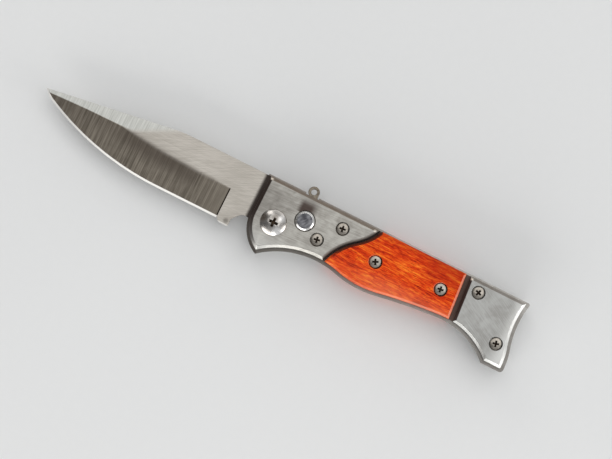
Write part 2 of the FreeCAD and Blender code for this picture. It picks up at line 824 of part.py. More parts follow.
pocket(safety, safety_holes, "safety_cuts")
nodes.append(safety)


# Blade: plate with tang, swedge along the clip, then ground from a C-shaped loft that wraps the edge.
plate = new_body("blade_plate", {"z": middle_z})
half = "(blade_thickness / 2)"
blade_spine = "(spine_height - blade_step)"
stop_face = "(stop_x - stop_radius - stop_clearance)"
tang_radius = f"(sqrt(stop_x^2 + {stop_y}^2) - stop_radius - tang_gap)"
notch_scale = "(1 + notch_setback / sqrt(button_x^2 + button_y^2))"
notch_x = f"(button_x * {notch_scale})"
notch_y = f"(button_y * {notch_scale})"
notch_radius = "(lock_radius + notch_play)"
notch_shares = (0.8, 0.6)
notch_mouth = (
    f"-{notch_x} - {notch_shares[0]} * {notch_radius}",
    f"-{notch_y} + {notch_shares[1]} * {notch_radius}",
)
tang_share = f"({tang_radius} / (sqrt(button_x^2 + button_y^2) + notch_setback))"
heel_back = f"({notch_x} + {notch_radius} + heel_gap)"
heel_start = f"({heel_back} + heel_length)"
heel_under = "(edge_depth + heel_drop)"
plunge = f"({heel_start} + plunge_gap)"
# The edge rises from the belly's start along one arc, then along a tighter tangent arc to the tip.
tip_bend = "(blade_reach - tip_run)"
tip_bend_y = "(tip_height - tip_drop)"
belly_start = f"({tip_bend} - belly_length)"
belly_rise = f"({tip_bend_y} + edge_depth)"
belly_radius = f"((belly_length^2 + {belly_rise}^2) / (2 * {belly_rise}))"
tip_turn = f"(2 * (atan(tip_drop / tip_run) - 2 * atan({belly_rise} / belly_length)))"
tip_radius = f"(sqrt(tip_run^2 + tip_drop^2) / (2 * sin({tip_turn} / 2)))"
clip_start = "(blade_reach - clip_length)"
clip_fall = f"({blade_spine} - tip_height)"
clip_angle = f"atan({clip_fall} / clip_length)"
clip_set = f"(clip_round * tan({clip_angle} / 2))"
clip_end = (
    f"-{clip_start} - {clip_set} * cos({clip_angle})",
    f"{blade_spine} - {clip_set} * sin({clip_angle})",
)
blade_outline = sketch_on(plate, "blade_outline", "XY_Plane", f"-{half}")
draw_outline(
    blade_outline,
    [
        ("-blade_reach", "tip_height", tip_radius, 1),
        (f"-{tip_bend}", tip_bend_y, belly_radius, 1),
        (f"-{belly_start}", "-edge_depth"),
        (f"-{heel_start}", "-edge_depth", "heel_round", 1),
        (f"-({heel_start} - heel_round)", f"-{heel_under}"),
        (f"-({heel_back} + heel_corner)", f"-{heel_under}", "heel_corner", 1),
        (f"-{heel_back}", f"-({heel_under} - heel_corner)"),
        (f"-{heel_back}", f"-{notch_y}"),
        notch_mouth,
        (f"-{notch_x}", f"-{notch_y}"),
        (f"-{notch_x} * {tang_share}", f"-{notch_y} * {tang_share}", tang_radius, 1),
        (tang_radius, "0", tang_radius, 1),
        (stop_face, f"sqrt({tang_radius}^2 - {stop_face}^2)"),
        (stop_face, blade_spine),
        (f"{clip_set} - {clip_start}", blade_spine, "clip_round", 1),
        clip_end,
    ],
)
pad(plate, blade_outline, "blade_blank", "blade_thickness")
tang_cuts = sketch_on(plate, "tang_cuts", "XY_Plane", half)
draw_circle(tang_cuts, "0", "0", "barrel_radius + pivot_clearance")
draw_circle(tang_cuts, notch_x, notch_y, notch_radius)
draw_circle(tang_cuts, f"-{notch_x}", f"-{notch_y}", notch_radius)
pocket(plate, tang_cuts, "pivot_bore_and_notches")
spring_hole = sketch_on(plate, "spring_hole_outline", "XY_Plane", f"-{half}")
draw_circle(spring_hole, "-coil_radius", "-spring_bend", "spring_wire / 2 + spring_clearance")
pocket(plate, spring_hole, "spring_hole", "spring_hole_depth", True)

# Swedge: on both sides a plane falls away from a slanting line at the clip's start, thinnest at the tip.
tip_thin_share = 0.55
swedge_angle = "atan(swedge_fall / swedge_run)"
swedge_reach = f"(clip_length * sin({swedge_angle}) - {clip_fall} * cos({swedge_angle}))"
swedge_end = f"({swedge_reach} + overrun)"
swedge_level = f"({half} * (1 - {tip_thin_share} * {swedge_end} / {swedge_reach}))"
swedge = sketch_on(plate, "swedge_outline", "XZ_Plane")
swedge_turn = "-atan(swedge_run / swedge_fall)"
turn = FreeCAD.Rotation(FreeCAD.Vector(0, 1, 0), number(swedge_turn))
swedge.AttachmentOffset = FreeCAD.Placement(FreeCAD.Vector(), turn)
bind(swedge, {"AttachmentOffset.Base.x": f"-{clip_start}", "AttachmentOffset.Base.z": f"-{blade_spine}"})
bind(swedge, {"AttachmentOffset.Rotation.Angle": swedge_turn})
for sign, order in (("", 1), ("-", -1)):
    corners = [
        ("0", f"{sign}{half}"),
        (f"-{swedge_end}", f"{sign}({half} + overrun)"),
        (f"-{swedge_end}", f"{sign}{swedge_level}"),
    ]
    draw_outline(swedge, corners[::order])
pocket(plate, swedge, "swedge")


def edge_height(ahead):
    """Height of the cutting edge at a distance ahead of the pivot, carried on straight past the tip."""
    tip = FreeCAD.Vector(-number("blade_reach"), number("tip_height"), 0)
    bend = FreeCAD.Vector(-number(tip_bend), number(tip_bend_y), 0)
    if ahead <= number(belly_start):
        return -number("edge_depth")
    if ahead <= number(tip_bend):
        radius = number(belly_radius)
        run = ahead - number(belly_start)
        return radius - math.sqrt(radius**2 - run**2) - number("edge_depth")
    centre = arc_centre(tip, bend, number(tip_radius), 1)
    if ahead <= number("blade_reach"):
        return centre.y - math.sqrt(number(tip_radius) ** 2 - (-ahead - centre.x) ** 2)
    slope = (centre.x - tip.x) / (centre.y - tip.y)
    return tip.y + slope * (ahead - number("blade_reach"))


def flat_half(ahead, height):
    """Half the blade's thickness on its flat or swedge."""
    slant = math.radians(number(swedge_angle))
    forward = (ahead - number(clip_start)) * math.sin(slant)
    reach = forward - (number(blade_spine) - height) * math.cos(slant)
    return number(half) * (1 - tip_thin_share * max(0, reach) / number(swedge_reach))


# Grind: its upper line, how far along from plunge to tip and how high up the blade, as straight runs.
line_shares = [
    (0.0, 0.528),
    (0.175, 0.535),
    (0.352, 0.567),
    (0.529, 0.615),
    (0.615, 0.629),
    (0.706, 0.636),
    (0.833, 0.631),
    (0.921, 0.620),
    (1.04, 0.590),
]
knee_share = 0.30
steepest_share = 0.16
least_grind_share = 0.1
grind_stations = 20


def line_height(along_share):
    """Height of the grind's upper line at a share of the way from plunge to tip."""
    for (start, low), (end, high) in zip(line_shares, line_shares[1:]):
        if along_share <= end:
            break
    share = low + (high - low) * (along_share - start) / (end - start)
    return share * number(f"{blade_spine} + edge_depth") - number("edge_depth")


def grind_section(along_share):
    """The C round the edge at one place along the blade: what grinding takes away on both sides."""
    ahead = number(plunge) + along_share * (number("blade_reach") - number(plunge))
    edge = edge_height(ahead)
    knee_height = edge + number("edge_width")
    line = max(line_height(along_share), knee_height + least_grind_share * number("edge_width"))
    flat = flat_half(ahead, line)
    fall = min((1 - knee_share) * flat, steepest_share * (line - knee_height))
    knee = (knee_height, flat - fall)
    over = number("overrun")
    rise = fall / (line - knee_height)
    upper = [
        (edge - over, number(half) + over),
        (line + over, number(half) + over),
        (line + over, flat + rise * over),
        knee,
        (edge, number("edge_thickness") / 2),
    ]
    lower = [(y, -z) for y, z in upper[::-1]]
    spots = [FreeCAD.Vector(-ahead, y, z) for y, z in upper + lower]
    return Part.makePolygon(spots + spots[:1])


doc.recompute()
grind = doc.addObject("Part::Feature", "blade_grind")
past_tip_share = line_shares[-1][0]
along_shares = [
    past_tip_share * (1 - (1 - station / grind_stations) ** 2) for station in range(grind_stations + 1)
]
grind.Shape = Part.makeLoft([grind_section(along) for along in along_shares], True, True)
grind.Placement.Base.z = number(middle_z)
blade = doc.addObject("Part::Cut", "blade")
blade.Base = plate
blade.Tool = grind
nodes.append(blade)


# Springs: round wire swept along turns made of pairs of arcs.
def arc_between(start, tangent, end):
    """The arc that leaves start along tangent and ends at end."""
    chord = end - start
    across = tangent.cross(chord).cross(chord).normalize()
    bulge = chord.Length / 2 * math.tan(tangent.getAngle(chord) / 2)
    return Part.Arc(start, (start + end) / 2 - across * bulge, end).toShape()


def coil_edges(radius, pitch, turns, start_angle, level):
    """A helix about Z, each quarter turn as two arcs that share a tangent."""
    slope = pitch / (2 * math.pi)

    def spot(angle):
        height = level + slope * (angle - start_angle)
        return FreeCAD.Vector(radius * math.cos(angle), radius * math.sin(angle), height)

    def heading(angle):
        return FreeCAD.Vector(-radius * math.sin(angle), radius * math.cos(angle), slope).normalize()

    edges = []
    quarters = round(turns * 4)
    for quarter in range(quarters):
        here, there = (start_angle + math.pi / 2 * (quarter + step) for step in (0, 1))
        chord = spot(there) - spot(here)
        both = heading(here) + heading(there)
        spread = 2 * (1 - heading(here).dot(heading(there)))
        reach = (math.sqrt(chord.dot(both) ** 2 + spread * chord.dot(chord)) - chord.dot(both)) / spread
        first = spot(here) + heading(here) * reach
        second = spot(there) - heading(there) * reach
        middle = (first + second) / 2
        edges.append(arc_between(spot(here), heading(here), middle))
        edges.append(arc_between(middle, (second - first).normalize(), spot(there)))
    return edges, spot, heading


def swept_wire(edges, start, heading, wire):
    ring = Part.Circle(start, heading, wire / 2).toShape()
    shell = Part.BRepOffsetAPI.MakePipeShell(Part.Wire(edges))
    shell.add(Part.Wire([ring]))
    shell.build()
    shell.makeSolid()
    return shell.shape()


def own_gap(edges, wire, turn_length):
    """The least gap of a coil to itself, measured on points at least half a turn apart."""
    path = Part.Wire(edges)
    points = path.discretize(Number=round(24 * path.Length / turn_length))
    return min(
        here.distanceToPoint(there) for index, here in enumerate(points) for there in points[index + 12 :]
    ) - wire


def make_opening_spring():
    """Leg along the bolster's slot, two turns round the barrel, then a bend up into the tang."""
    turns = 2
    wire = number("spring_wire")
    radius = number("coil_radius")
    bend = number("spring_bend")
    level = number(f"{spring_floor_z} + spring_clearance + spring_wire / 2")
    room = number(f"{gap_z} - {spring_floor_z} - 2 * spring_clearance - spring_wire")
    begin = math.pi
    finish = begin + 2 * math.pi * turns
    coil, spot, heading = coil_edges(radius, room / turns, turns, begin, level)
    up = FreeCAD.Vector(0, 0, 1)
    ahead = heading(finish)
    level_ahead = FreeCAD.Vector(ahead.x, ahead.y, 0).normalize()
    leg_end = spot(begin) - level_ahead * number("spring_leg")
    rise = spot(finish) + level_ahead * (bend * (1 - ahead.z)) + up * (bend * math.sqrt(1 - ahead.z**2))
    tip_level = number(f"{gap_z} + washer_thickness + spring_hole_depth - spring_clearance")
    tip = FreeCAD.Vector(rise.x, rise.y, tip_level)
    leg = Part.makeLine(leg_end, spot(begin))
    hook = [arc_between(spot(finish), ahead, rise), Part.makeLine(rise, tip)]
    print("opening spring, gap between turns:", round(own_gap(coil, wire, 2 * math.pi * radius), 2))
    return swept_wire([leg, *coil, *hook], leg_end, level_ahead, wire)


def make_button_spring():
    turns = 3
    wire = number("button_wire")
    radius = number(button_coil_radius)
    level = number(f"{front_scale_z} + button_coil_end + button_wire / 2")
    room = number("button_space + button_recess_depth - 2 * button_coil_end - button_wire")
    coil, spot, heading = coil_edges(radius, room / turns, turns, 0, level)
    print("button spring, gap between turns:", round(own_gap(coil, wire, 2 * math.pi * radius), 2))
    return swept_wire(coil, spot(0), heading(0), wire)


opening_spring = doc.addObject("Part::Feature", "opening_spring")
opening_spring.Shape = make_opening_spring()
button_spring = doc.addObject("Part::Feature", "button_spring")
button_spring.Shape = make_button_spring()
button_spring.Placement.Base = FreeCAD.Vector(number("button_x"), number("button_y"), 0)
nodes += [opening_spring, button_spring]

# Every object must have built, and every piece must be a valid solid, before anything is written.
doc.recompute()
for item in doc.Objects:
    if {"Invalid", "Error"} & set(item.State):
        raise RuntimeError(f"{item.Label} failed: {item.State}")
for node in nodes:
    if node.Shape.isNull() or not node.Shape.isValid() or not node.Shape.Solids:
        raise RuntimeError(f"{node.Label} has no valid solid")

os.makedirs("parts", exist_ok=True)
for node in nodes:
    node.Shape.exportStep(f"parts/{node.Label}.step")
    print(node.Label, len(node.Shape.Solids), round(node.Shape.Volume, 1))
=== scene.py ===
import math

import bmesh
import bpy
from mathutils import Matrix, Vector
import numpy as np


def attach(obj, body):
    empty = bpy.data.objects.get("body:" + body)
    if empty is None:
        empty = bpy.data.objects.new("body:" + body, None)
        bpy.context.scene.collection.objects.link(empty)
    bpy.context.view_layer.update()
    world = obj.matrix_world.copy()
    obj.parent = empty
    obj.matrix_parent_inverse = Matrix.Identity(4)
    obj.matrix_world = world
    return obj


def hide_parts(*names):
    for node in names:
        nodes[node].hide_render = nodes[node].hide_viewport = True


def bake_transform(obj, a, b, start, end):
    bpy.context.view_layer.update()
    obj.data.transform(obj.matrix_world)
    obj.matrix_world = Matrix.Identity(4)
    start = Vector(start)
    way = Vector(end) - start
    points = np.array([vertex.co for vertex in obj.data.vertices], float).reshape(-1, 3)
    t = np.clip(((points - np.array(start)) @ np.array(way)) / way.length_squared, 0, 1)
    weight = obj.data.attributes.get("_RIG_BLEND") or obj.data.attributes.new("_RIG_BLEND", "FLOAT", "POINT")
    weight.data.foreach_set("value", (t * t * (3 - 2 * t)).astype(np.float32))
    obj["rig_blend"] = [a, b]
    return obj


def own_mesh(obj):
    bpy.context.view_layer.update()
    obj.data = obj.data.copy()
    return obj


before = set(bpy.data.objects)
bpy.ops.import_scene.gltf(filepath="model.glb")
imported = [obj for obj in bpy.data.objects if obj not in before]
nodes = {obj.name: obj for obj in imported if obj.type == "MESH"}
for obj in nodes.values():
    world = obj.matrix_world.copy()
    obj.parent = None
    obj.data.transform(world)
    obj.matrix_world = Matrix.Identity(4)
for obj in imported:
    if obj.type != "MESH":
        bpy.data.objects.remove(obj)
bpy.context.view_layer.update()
mm = 0.001
print("frame loaded:", len(nodes), "nodes")


class Flow:  # one shader socket, so that masks and heights read as sums
    def __init__(self, tree, socket=None):
        self.tree = tree
        self.socket = socket

    def node(self, kind, settings=None, inputs=None, out=0):
        made = self.tree.nodes.new("ShaderNode" + kind)
        for name, value in (settings or {}).items():
            if name == "stops":  # a ramp's places and colours
                band = made.color_ramp.elements
                band.remove(band[1])
                band[0].position = value[0][0]
                band[0].color = (*value[0][1], 1)
                for at, colour in value[1:]:
                    band.new(at).color = (*colour, 1)
            else:
                setattr(made, name, value)
        for key, value in (inputs or {}).items():
            socket = made.inputs[key]
            if isinstance(value, Flow):
                self.tree.links.new(value.socket, socket)
            elif socket.type == "RGBA":
                socket.default_value = (*value, 1)
            else:
                socket.default_value = value
        return Flow(self.tree, made.outputs[out] if made.outputs else None)

    def maths(self, operation, *values):
        return self.node("Math", {"operation": operation}, dict(enumerate(values)))

    def __add__(self, other):
        return self.maths("ADD", self, other)

    def __sub__(self, other):
        return self.maths("SUBTRACT", self, other)

    def __rsub__(self, other):
        return self.maths("SUBTRACT", other, self)

    def __mul__(self, other):
        return self.maths("MULTIPLY", self, other)

    def __truediv__(self, other):
        return self.maths("DIVIDE", self, other)

    def __pow__(self, other):
        return self.maths("POWER", self, other)

    def __abs__(self):
        return self.maths("ABSOLUTE", self)

    __radd__ = __add__
    __rmul__ = __mul__

    def atLeast(self, other):
        return self.maths("MAXIMUM", self, other)

    def atMost(self, other):
        return self.maths("MINIMUM", self, other)

    def ease(self, low, high, start=0.0, end=1.0):  # a fade: from, to, and the value at each
        return self.node(
            "MapRange",
            {"interpolation_type": "SMOOTHSTEP"},
            {0: self, 1: low, 2: high, 3: start, 4: end},
        )

    def mix(self, first, second):  # two colours, by this mask
        return self.node("Mix", {"data_type": "RGBA"}, {0: self, 6: first, 7: second}, 2)

    def tint(self, colour):  # a colour times this value
        return self.node(
            "Mix", {"data_type": "RGBA", "blend_type": "MULTIPLY"}, {0: 1.0, 6: colour, 7: self}, 2
        )


def startFinish(name):  # a bare material and its place on the knife in millimetres
    material = bpy.data.materials.new(name)
    material.use_nodes = True
    material.node_tree.nodes.clear()
    flow = Flow(material.node_tree)
    local = flow.node("TexCoord", out="Object")
    place = flow.node("VectorMath", {"operation": "SCALE"}, {0: local, 3: 1 / mm})
    return material, place


def axesOf(vector):
    split = vector.node("SeparateXYZ", {}, {0: vector}).socket.node
    return [Flow(vector.tree, axis) for axis in split.outputs]


def facingOf(place):  # how far the surface faces along each axis
    return axesOf(place.node("TexCoord", out="Normal"))


def grain(place, size, detail=2.0, rough=0.5, turn=0.0, shift=0.0, warp=0.0):
    # noise whose grains have this size in millimetres, turned about the show face
    laid = place.node(
        "Mapping",
        {"vector_type": "TEXTURE"},
        {"Vector": place, "Location": (shift, shift, shift), "Rotation": (0, 0, turn), "Scale": size},
    )
    return place.node(
        "TexNoise",
        {},
        {"Vector": laid, "Scale": 1.0, "Detail": detail, "Roughness": rough, "Distortion": warp},
    )


def weighed(parts, weights):  # a sum of grains or masks, each by its weight
    total = parts[0] * weights[0]
    for part, weight in zip(parts[1:], weights[1:]):
        total = total + part * weight
    return total


def awayFrom(x, y, along, up):
    return ((x - along) ** 2 + (y - up) ** 2) ** 0.5


spotCore = 0.25  # the share of a spot's reach where it is full


def spotAt(x, y, spot):  # a soft round spot
    along, up, reach, amount = spot
    return awayFrom(x, y, along, up).ease(reach, reach * spotCore) * amount


plainSurface = {"Specular IOR Level": 0.08}  # low, so that dirt and painted shade stay dark


def endFinish(place, bump, height, sockets):
    strength, depth = bump
    relief = place.node("Bump", {}, {"Strength": strength, "Distance": depth * mm, "Height": height})
    shader = place.node("BsdfPrincipled", {}, {**plainSurface, **sockets, "Normal": relief})
    place.node("OutputMaterial", {}, {"Surface": shader})


# Blade: flats brushed on the slant, bevels ground across, a honed edge painted near white as its highlight,
# and painted shade by the plunge, the heel, the grind line and the bolster.
bladeLook = {
    "flatDark": (0.385, 0.355, 0.311),
    "flatLight": (0.555, 0.518, 0.466),
    "flatWeights": (0.48, 0.22, 0.30),  # of brush, along and cloud
    "flatRange": (0.36, 0.64),
    "flatHeights": (0.7, 0.3),  # of brush and along
    "groundDark": (0.126, 0.108, 0.086),
    "groundLight": (0.288, 0.253, 0.206),
    "groundWeights": (0.48, 0.40, 0.12),  # of across, bands and cloud
    "groundRange": (0.37, 0.65),
    "groundShade": (0.104, 0.085, 0.069),
    "shadeDepth": (8.5, 2.5, 0.0, 0.75),  # painted shade below the grind line
    "shadeRuns": ((26.0, 40.0), (74.0, 58.0, 0.3, 1.0)),  # ahead of the pivot, as all runs of the blade
    "paleRun": (34.0, 21.0, 0.0, 0.4),  # the bevel is paler by the heel
    "swedgeDark": (0.405, 0.405, 0.375),
    "swedgeLight": (0.575, 0.575, 0.54),
    "swedgeWeights": (0.65, 0.2, 0.15),
    "swedgeRange": (0.34, 0.66),
    "swedgeStep": (-0.8, 1.8),  # past the line where the swedge starts
    "clipStart": 46.0,
    "clipTop": 15.25,
    "swedgeRun": 17.0,
    "swedgeFall": 8.6,
    "grindLine": (  # how far ahead of the pivot, and how high
        (20.2, 4.25), (27, 4.58), (35, 4.78), (47, 5.30), (62, 6.75), (67, 7.05), (82, 6.85), (97, 6.20),
    ),
    "lineTop": 10.0,
    "lineBlurs": ((21.0, 32.0, 0.5, 1.4), (69.0, 60.0, 0.14, 1.0)),  # the line blurs in its middle
    "plunge": 20.2,
    "plungeStep": (-0.1, 0.1),
    "corner": (0.022, 0.018, 0.015),  # painted shade, a dark line along the foot of the plunge
    "cornerStart": (-0.08, 0.05),
    "cornerEnd": (0.65, 0.35),
    # the honed edge, painted near white: its own finish and a painted highlight
    "edge": (0.885, 0.862, 0.812),
    "edgeTip": (0.70, 0.68, 0.64),
    "edgeFade": (64.0, 94.0),  # the painted highlight on the honed edge dims towards the tip
    "edgeLow": -7.75,
    "edgeTop": (0.88, 0.72),
    "edgeStart": (-0.1, 0.3),
    "edgeDull": 0.8,
    "bellyStart": 46.0,
    "bellyRadius": 109.97,
    "tipStart": 95.0,
    "tipRise": 0.0698,
    # painted shade on the heel's round bottom
    "heel": (0.11, 0.098, 0.085),
    "heelEnd": (0.0, -0.3),
    "heelShadeSpot": (-16.5, -7.3, 1.5, 0.6),  # painted shade on the heel's round bottom: along, up, reach and amount
    # a painted highlight along the heel's lower rim
    "heelRimHighlight": (-8.3, -8.55, 0.0, 0.6),
    "bolsterShadow": (0.024, 0.015, 0.012),
    "bolsterShadowRun": (11.3, 9.9, 0.0, 0.92),  # painted shadow on the blade along the nose of the bolster
    "bolsterShadowDull": 0.7,
    "brush": {"size": (7, 0.24, 0.4), "detail": 3, "rough": 0.62, "turn": 0.42},
    "along": {"size": (22, 0.3, 0.3), "detail": 3, "rough": 0.6, "shift": 7},
    "cloud": {"size": (16, 6, 6), "detail": 3, "rough": 0.55, "turn": 0.3, "shift": 11, "warp": 0.5},
    "across": {"size": (0.38, 14, 3), "detail": 3, "rough": 0.66},
    "bands": {"size": (0.95, 22, 4), "detail": 3, "rough": 0.62, "turn": 0.03, "shift": 5},
    "rough": 0.36,
    "roughWeights": (0.08, -0.04, 0.06, 0.10),  # of brush, swedge, ground and edge
    "bump": (0.3, 0.015),  # strength, and depth in millimetres
}


def bladeZones(look, place, ahead, y):  # depth below the grind line, and masks of bevel, swedge and edge
    first, last = look["grindLine"][0][0], look["grindLine"][-1][0]
    stops = [((a - first) / (last - first), (h / look["lineTop"],) * 3) for a, h in look["grindLine"]]
    line = place.node("ValToRGB", {"stops": stops}, {0: (ahead - first) / (last - first)})
    below = line * look["lineTop"] - y
    nearHeel, nearTip = look["lineBlurs"]
    soft = ahead.ease(*nearHeel) * ahead.ease(*nearTip)
    fall = ahead - look["plunge"]
    ground = (below / soft).ease(-1.0, 1.0) * fall.ease(*look["plungeStep"])
    slope = math.hypot(look["swedgeRun"], look["swedgeFall"])
    past = (ahead - look["clipStart"]) * (look["swedgeFall"] / slope)
    past = past - (look["clipTop"] - y) * (look["swedgeRun"] / slope)
    swedge = past.ease(*look["swedgeStep"]) * (1 - ground)
    run = (ahead - look["bellyStart"]).atLeast(0.0)
    radius = look["bellyRadius"]
    belly = radius - (radius * radius - run * run) ** 0.5
    tipRun = (ahead - look["tipStart"]).atLeast(0.0)
    above = y - (belly + look["edgeLow"] + tipRun * tipRun * look["tipRise"])
    edge = above.ease(*look["edgeTop"]) * fall.ease(*look["edgeStart"])
    return below, ground, swedge, edge


def makeBladeSteel(look):
    material, place = startFinish("ground_blade_steel")
    x, y = axesOf(place)[:2]
    ahead = x * -1.0
    fall = ahead - look["plunge"]
    below, ground, swedge, edge = bladeZones(look, place, ahead, y)
    brush = grain(place, **look["brush"])
    along = grain(place, **look["along"])
    cloud = grain(place, **look["cloud"])
    across = grain(place, **look["across"])
    bands = grain(place, **look["bands"])
    flatTone = weighed((brush, along, cloud), look["flatWeights"]).ease(*look["flatRange"])
    groundTone = weighed((across, bands, cloud), look["groundWeights"]).ease(*look["groundRange"])
    swedgeTone = weighed((across, bands, cloud), look["swedgeWeights"]).ease(*look["swedgeRange"])
    colour = flatTone.mix(look["flatDark"], look["flatLight"])
    colour = swedge.mix(colour, swedgeTone.mix(look["swedgeDark"], look["swedgeLight"]))
    bevel = groundTone.mix(look["groundDark"], look["groundLight"])
    nearHeel, nearTip = look["shadeRuns"]
    # painted shade under the grind line
    shade = below.ease(*look["shadeDepth"]) * ahead.ease(*nearHeel) * ahead.ease(*nearTip)
    bevel = shade.mix(bevel, look["groundShade"])
    bevel = ahead.ease(*look["paleRun"]).mix(bevel, look["groundLight"])
    colour = ground.mix(colour, bevel)
    # painted shade at the foot of the plunge
    corner = fall.ease(*look["cornerStart"]) * fall.ease(*look["cornerEnd"])
    colour = (corner * ground).mix(colour, look["corner"])
    heel = fall.ease(*look["heelEnd"])
    # painted shade on the heel's round bottom
    colour = (spotAt(x, y, look["heelShadeSpot"]) * heel).mix(colour, look["heel"])
    # the heel's lower rim takes the edge's painted highlight
    edge = (edge + y.ease(*look["heelRimHighlight"]) * heel).atMost(1.0)
    # the honed edge's colour, with its painted highlight
    honed = ahead.ease(*look["edgeFade"]).mix(look["edge"], look["edgeTip"])
    colour = edge.mix(colour, honed)
    # painted shadow on the blade beside the bolster's nose
    bolsterShadow = ahead.ease(*look["bolsterShadowRun"])
    colour = bolsterShadow.mix(colour, look["bolsterShadow"])
    crossed = (ground + swedge).atMost(1.0)
    height = crossed * across + (1 - crossed) * weighed((brush, along), look["flatHeights"])
    rough = look["rough"] + weighed((brush, swedge, ground, edge), look["roughWeights"])
    metal = 1.0 - look["edgeDull"] * edge - look["bolsterShadowDull"] * bolsterShadow * (1 - edge)
    sockets = {"Base Color": colour, "Metallic": metal, "Roughness": rough}
    endFinish(place, look["bump"], height, sockets)
    return material


# Steel of the bolsters, liners and small parts: brushed one way, with smudges, painted highlights on some
# bevels and ends, and painted shade on others.
bareLook = {  # what the steels start from
    "length": 6.0,  # of a brush mark
    "width": 0.34,
    "turn": 0.06,
    "rough": 0.34,
    "smudge": 4.6,
    "bump": (0.3, 0.016),
}
sharedPaintedLight = {  # painted shade and highlights on bolsters and pommels
    # painted shade on the bevels facing the nose
    "nose": (0.040, 0.027, 0.022),
    "noseShadeFacing": (-0.30, -0.62),
    "noseShadeFall": (-13.0, 3.0, 0.74, 0.97),  # the nose's painted shade is darkest above the pivot
    # painted shade on the surfaces turned up to the spine
    "spine": (0.165, 0.118, 0.083),
    # a painted highlight towards one end of the face
    "paintedHighlight": (0.66, 0.655, 0.63),
    # painted highlights on the upper corners
    "bevelHighlight": (0.96, 0.87, 0.74),
    "middle": 6.9,
    "bevelHighlightRise": (5.9, 6.6),  # from the middle of the handle: on the bevels alone
}
bolsterLook = {
    **bareLook,
    "dark": (0.260, 0.245, 0.220),
    "light": (0.447, 0.432, 0.393),
    "paintedLight": {
        **sharedPaintedLight,
        "spineShadeFacing": (0.35, 0.65, 0.0, 0.75),
        "highlightAxis": 1,  # painted highlight towards the guard
        "highlightRun": (-1.0, -12.0, 0.0, 0.5),
        "bevelHighlights": ((-7.8, 14.7, 1.0, 0.9), (35.4, 14.2, 0.9, 0.6)),  # painted highlights on the upper corners
        # painted shade: the face darker towards the nose
        "dim": {"along": (10.0, -2.0, 0.0, 0.28), "low": (-4.0, 3.0), "high": (13.5, 10.5, 0.4, 1.0)},
        "joint": {  # painted shade on the bevel by the wood, darker at its foot
            "low": (0.035, 0.024, 0.022),
            "high": (0.225, 0.207, 0.182),
            "facing": (0.15, 0.35),
            "along": (17.0, 20.0),
            "rise": (12.75, 13.7),
        },
        "buttonShadow": {  # painted shadow of the button, above it
            "colour": (0.055, 0.036, 0.029),
            "left": (4.9, 7.3),
            "right": (13.7, 10.1),
            "low": (7.8, 8.2),
            "high": (14.9, 10.6),
            "face": (12.0, 12.5),
            "cloud": 0.6,
            "least": 0.75,
            "amount": 0.92,
            "dull": 0.6,
        },
    },
}
pommelLook = {
    **bareLook,
    "dark": (0.268, 0.261, 0.244),
    "light": (0.418, 0.418, 0.401),
    "length": 7.0,
    "width": 0.26,
    "turn": -0.5,
    "smudge": 7.0,
    "paintedLight": {
        **sharedPaintedLight,
        "spineShadeFacing": (0.35, 0.65, 0.0, 0.5),
        "highlightAxis": 0,  # painted highlight towards the butt
        "highlightRun": (92.5, 98.5, 0.0, 0.75),
        # a painted highlight on the upper corner
        "bevelHighlights": ((75.7, 14.4, 0.9, 0.8),),
    },
}
linerLook = {
    **bareLook,
    "dark": (0.305, 0.287, 0.262),
    "light": (0.45, 0.432, 0.404),
    "length": 5.0,
    "width": 0.35,
    "turn": 0.0,
    "rough": 0.38,
    # painted shade on the ledges, under the spine, along the nose and where the wood ends
    "linerShade": {
        "ledgeShade": (0.115, 0.105, 0.092),
        "ledgeFall": (13.0, 8.0),
        "ledgeRun": (22.0, 42.0, 0.85, 0.45),
        "spineShade": (0.13, 0.10, 0.078),
        "spineRise": (14.0, 15.0),
        "spineRun": (44.0, 32.0, 0.0, 0.6),
        "frontFace": (9.5, 9.7),
        "backFace": (4.3, 4.1),
        # painted shade along the nose
        "nose": (0.038, 0.026, 0.021),
        "noseCentre": 5.31,  # below the pivot's level, the nose is round about this point
        "noseRadius": 14.91,
        "noseLedge": (1.05, 0.75),
        "noseRun": (4.0, 1.0),
        "noseTop": (15.5, 15.1),
        "noseRise": (-8.0, 2.0, 0.5, 0.95),
        # painted shade where the wood ends
        "joint": (0.145, 0.100, 0.082),
        "joints": (  # left, right and floor of the joints at both ends of the wood
            ((19.7, 20.0), (38.8, 38.5), (-4.7, -4.3)),
            ((71.9, 72.2), (79.3, 79.0), (-3.2, -2.8)),
        ),
        "jointTop": (15.2, 15.0),
    },
}
innerLook = {
    **bareLook,
    "dark": (0.19, 0.18, 0.17),
    "light": (0.305, 0.298, 0.283),
    "length": 5.0,
    "width": 0.35,
    "turn": 0.4,
    "rough": 0.40,
}
screwLook = {
    **bareLook,
    "dark": (0.27, 0.243, 0.205),
    "light": (0.475, 0.434, 0.378),
    "length": 1.4,
    "width": 0.35,
    "turn": 0.3,
    "rough": 0.30,
    "smudge": 1.6,
    "sunk": (0.04, 0.25),
    # dirt and painted shade in the cross
    "grimeAndShade": (0.046, 0.032, 0.023),
}
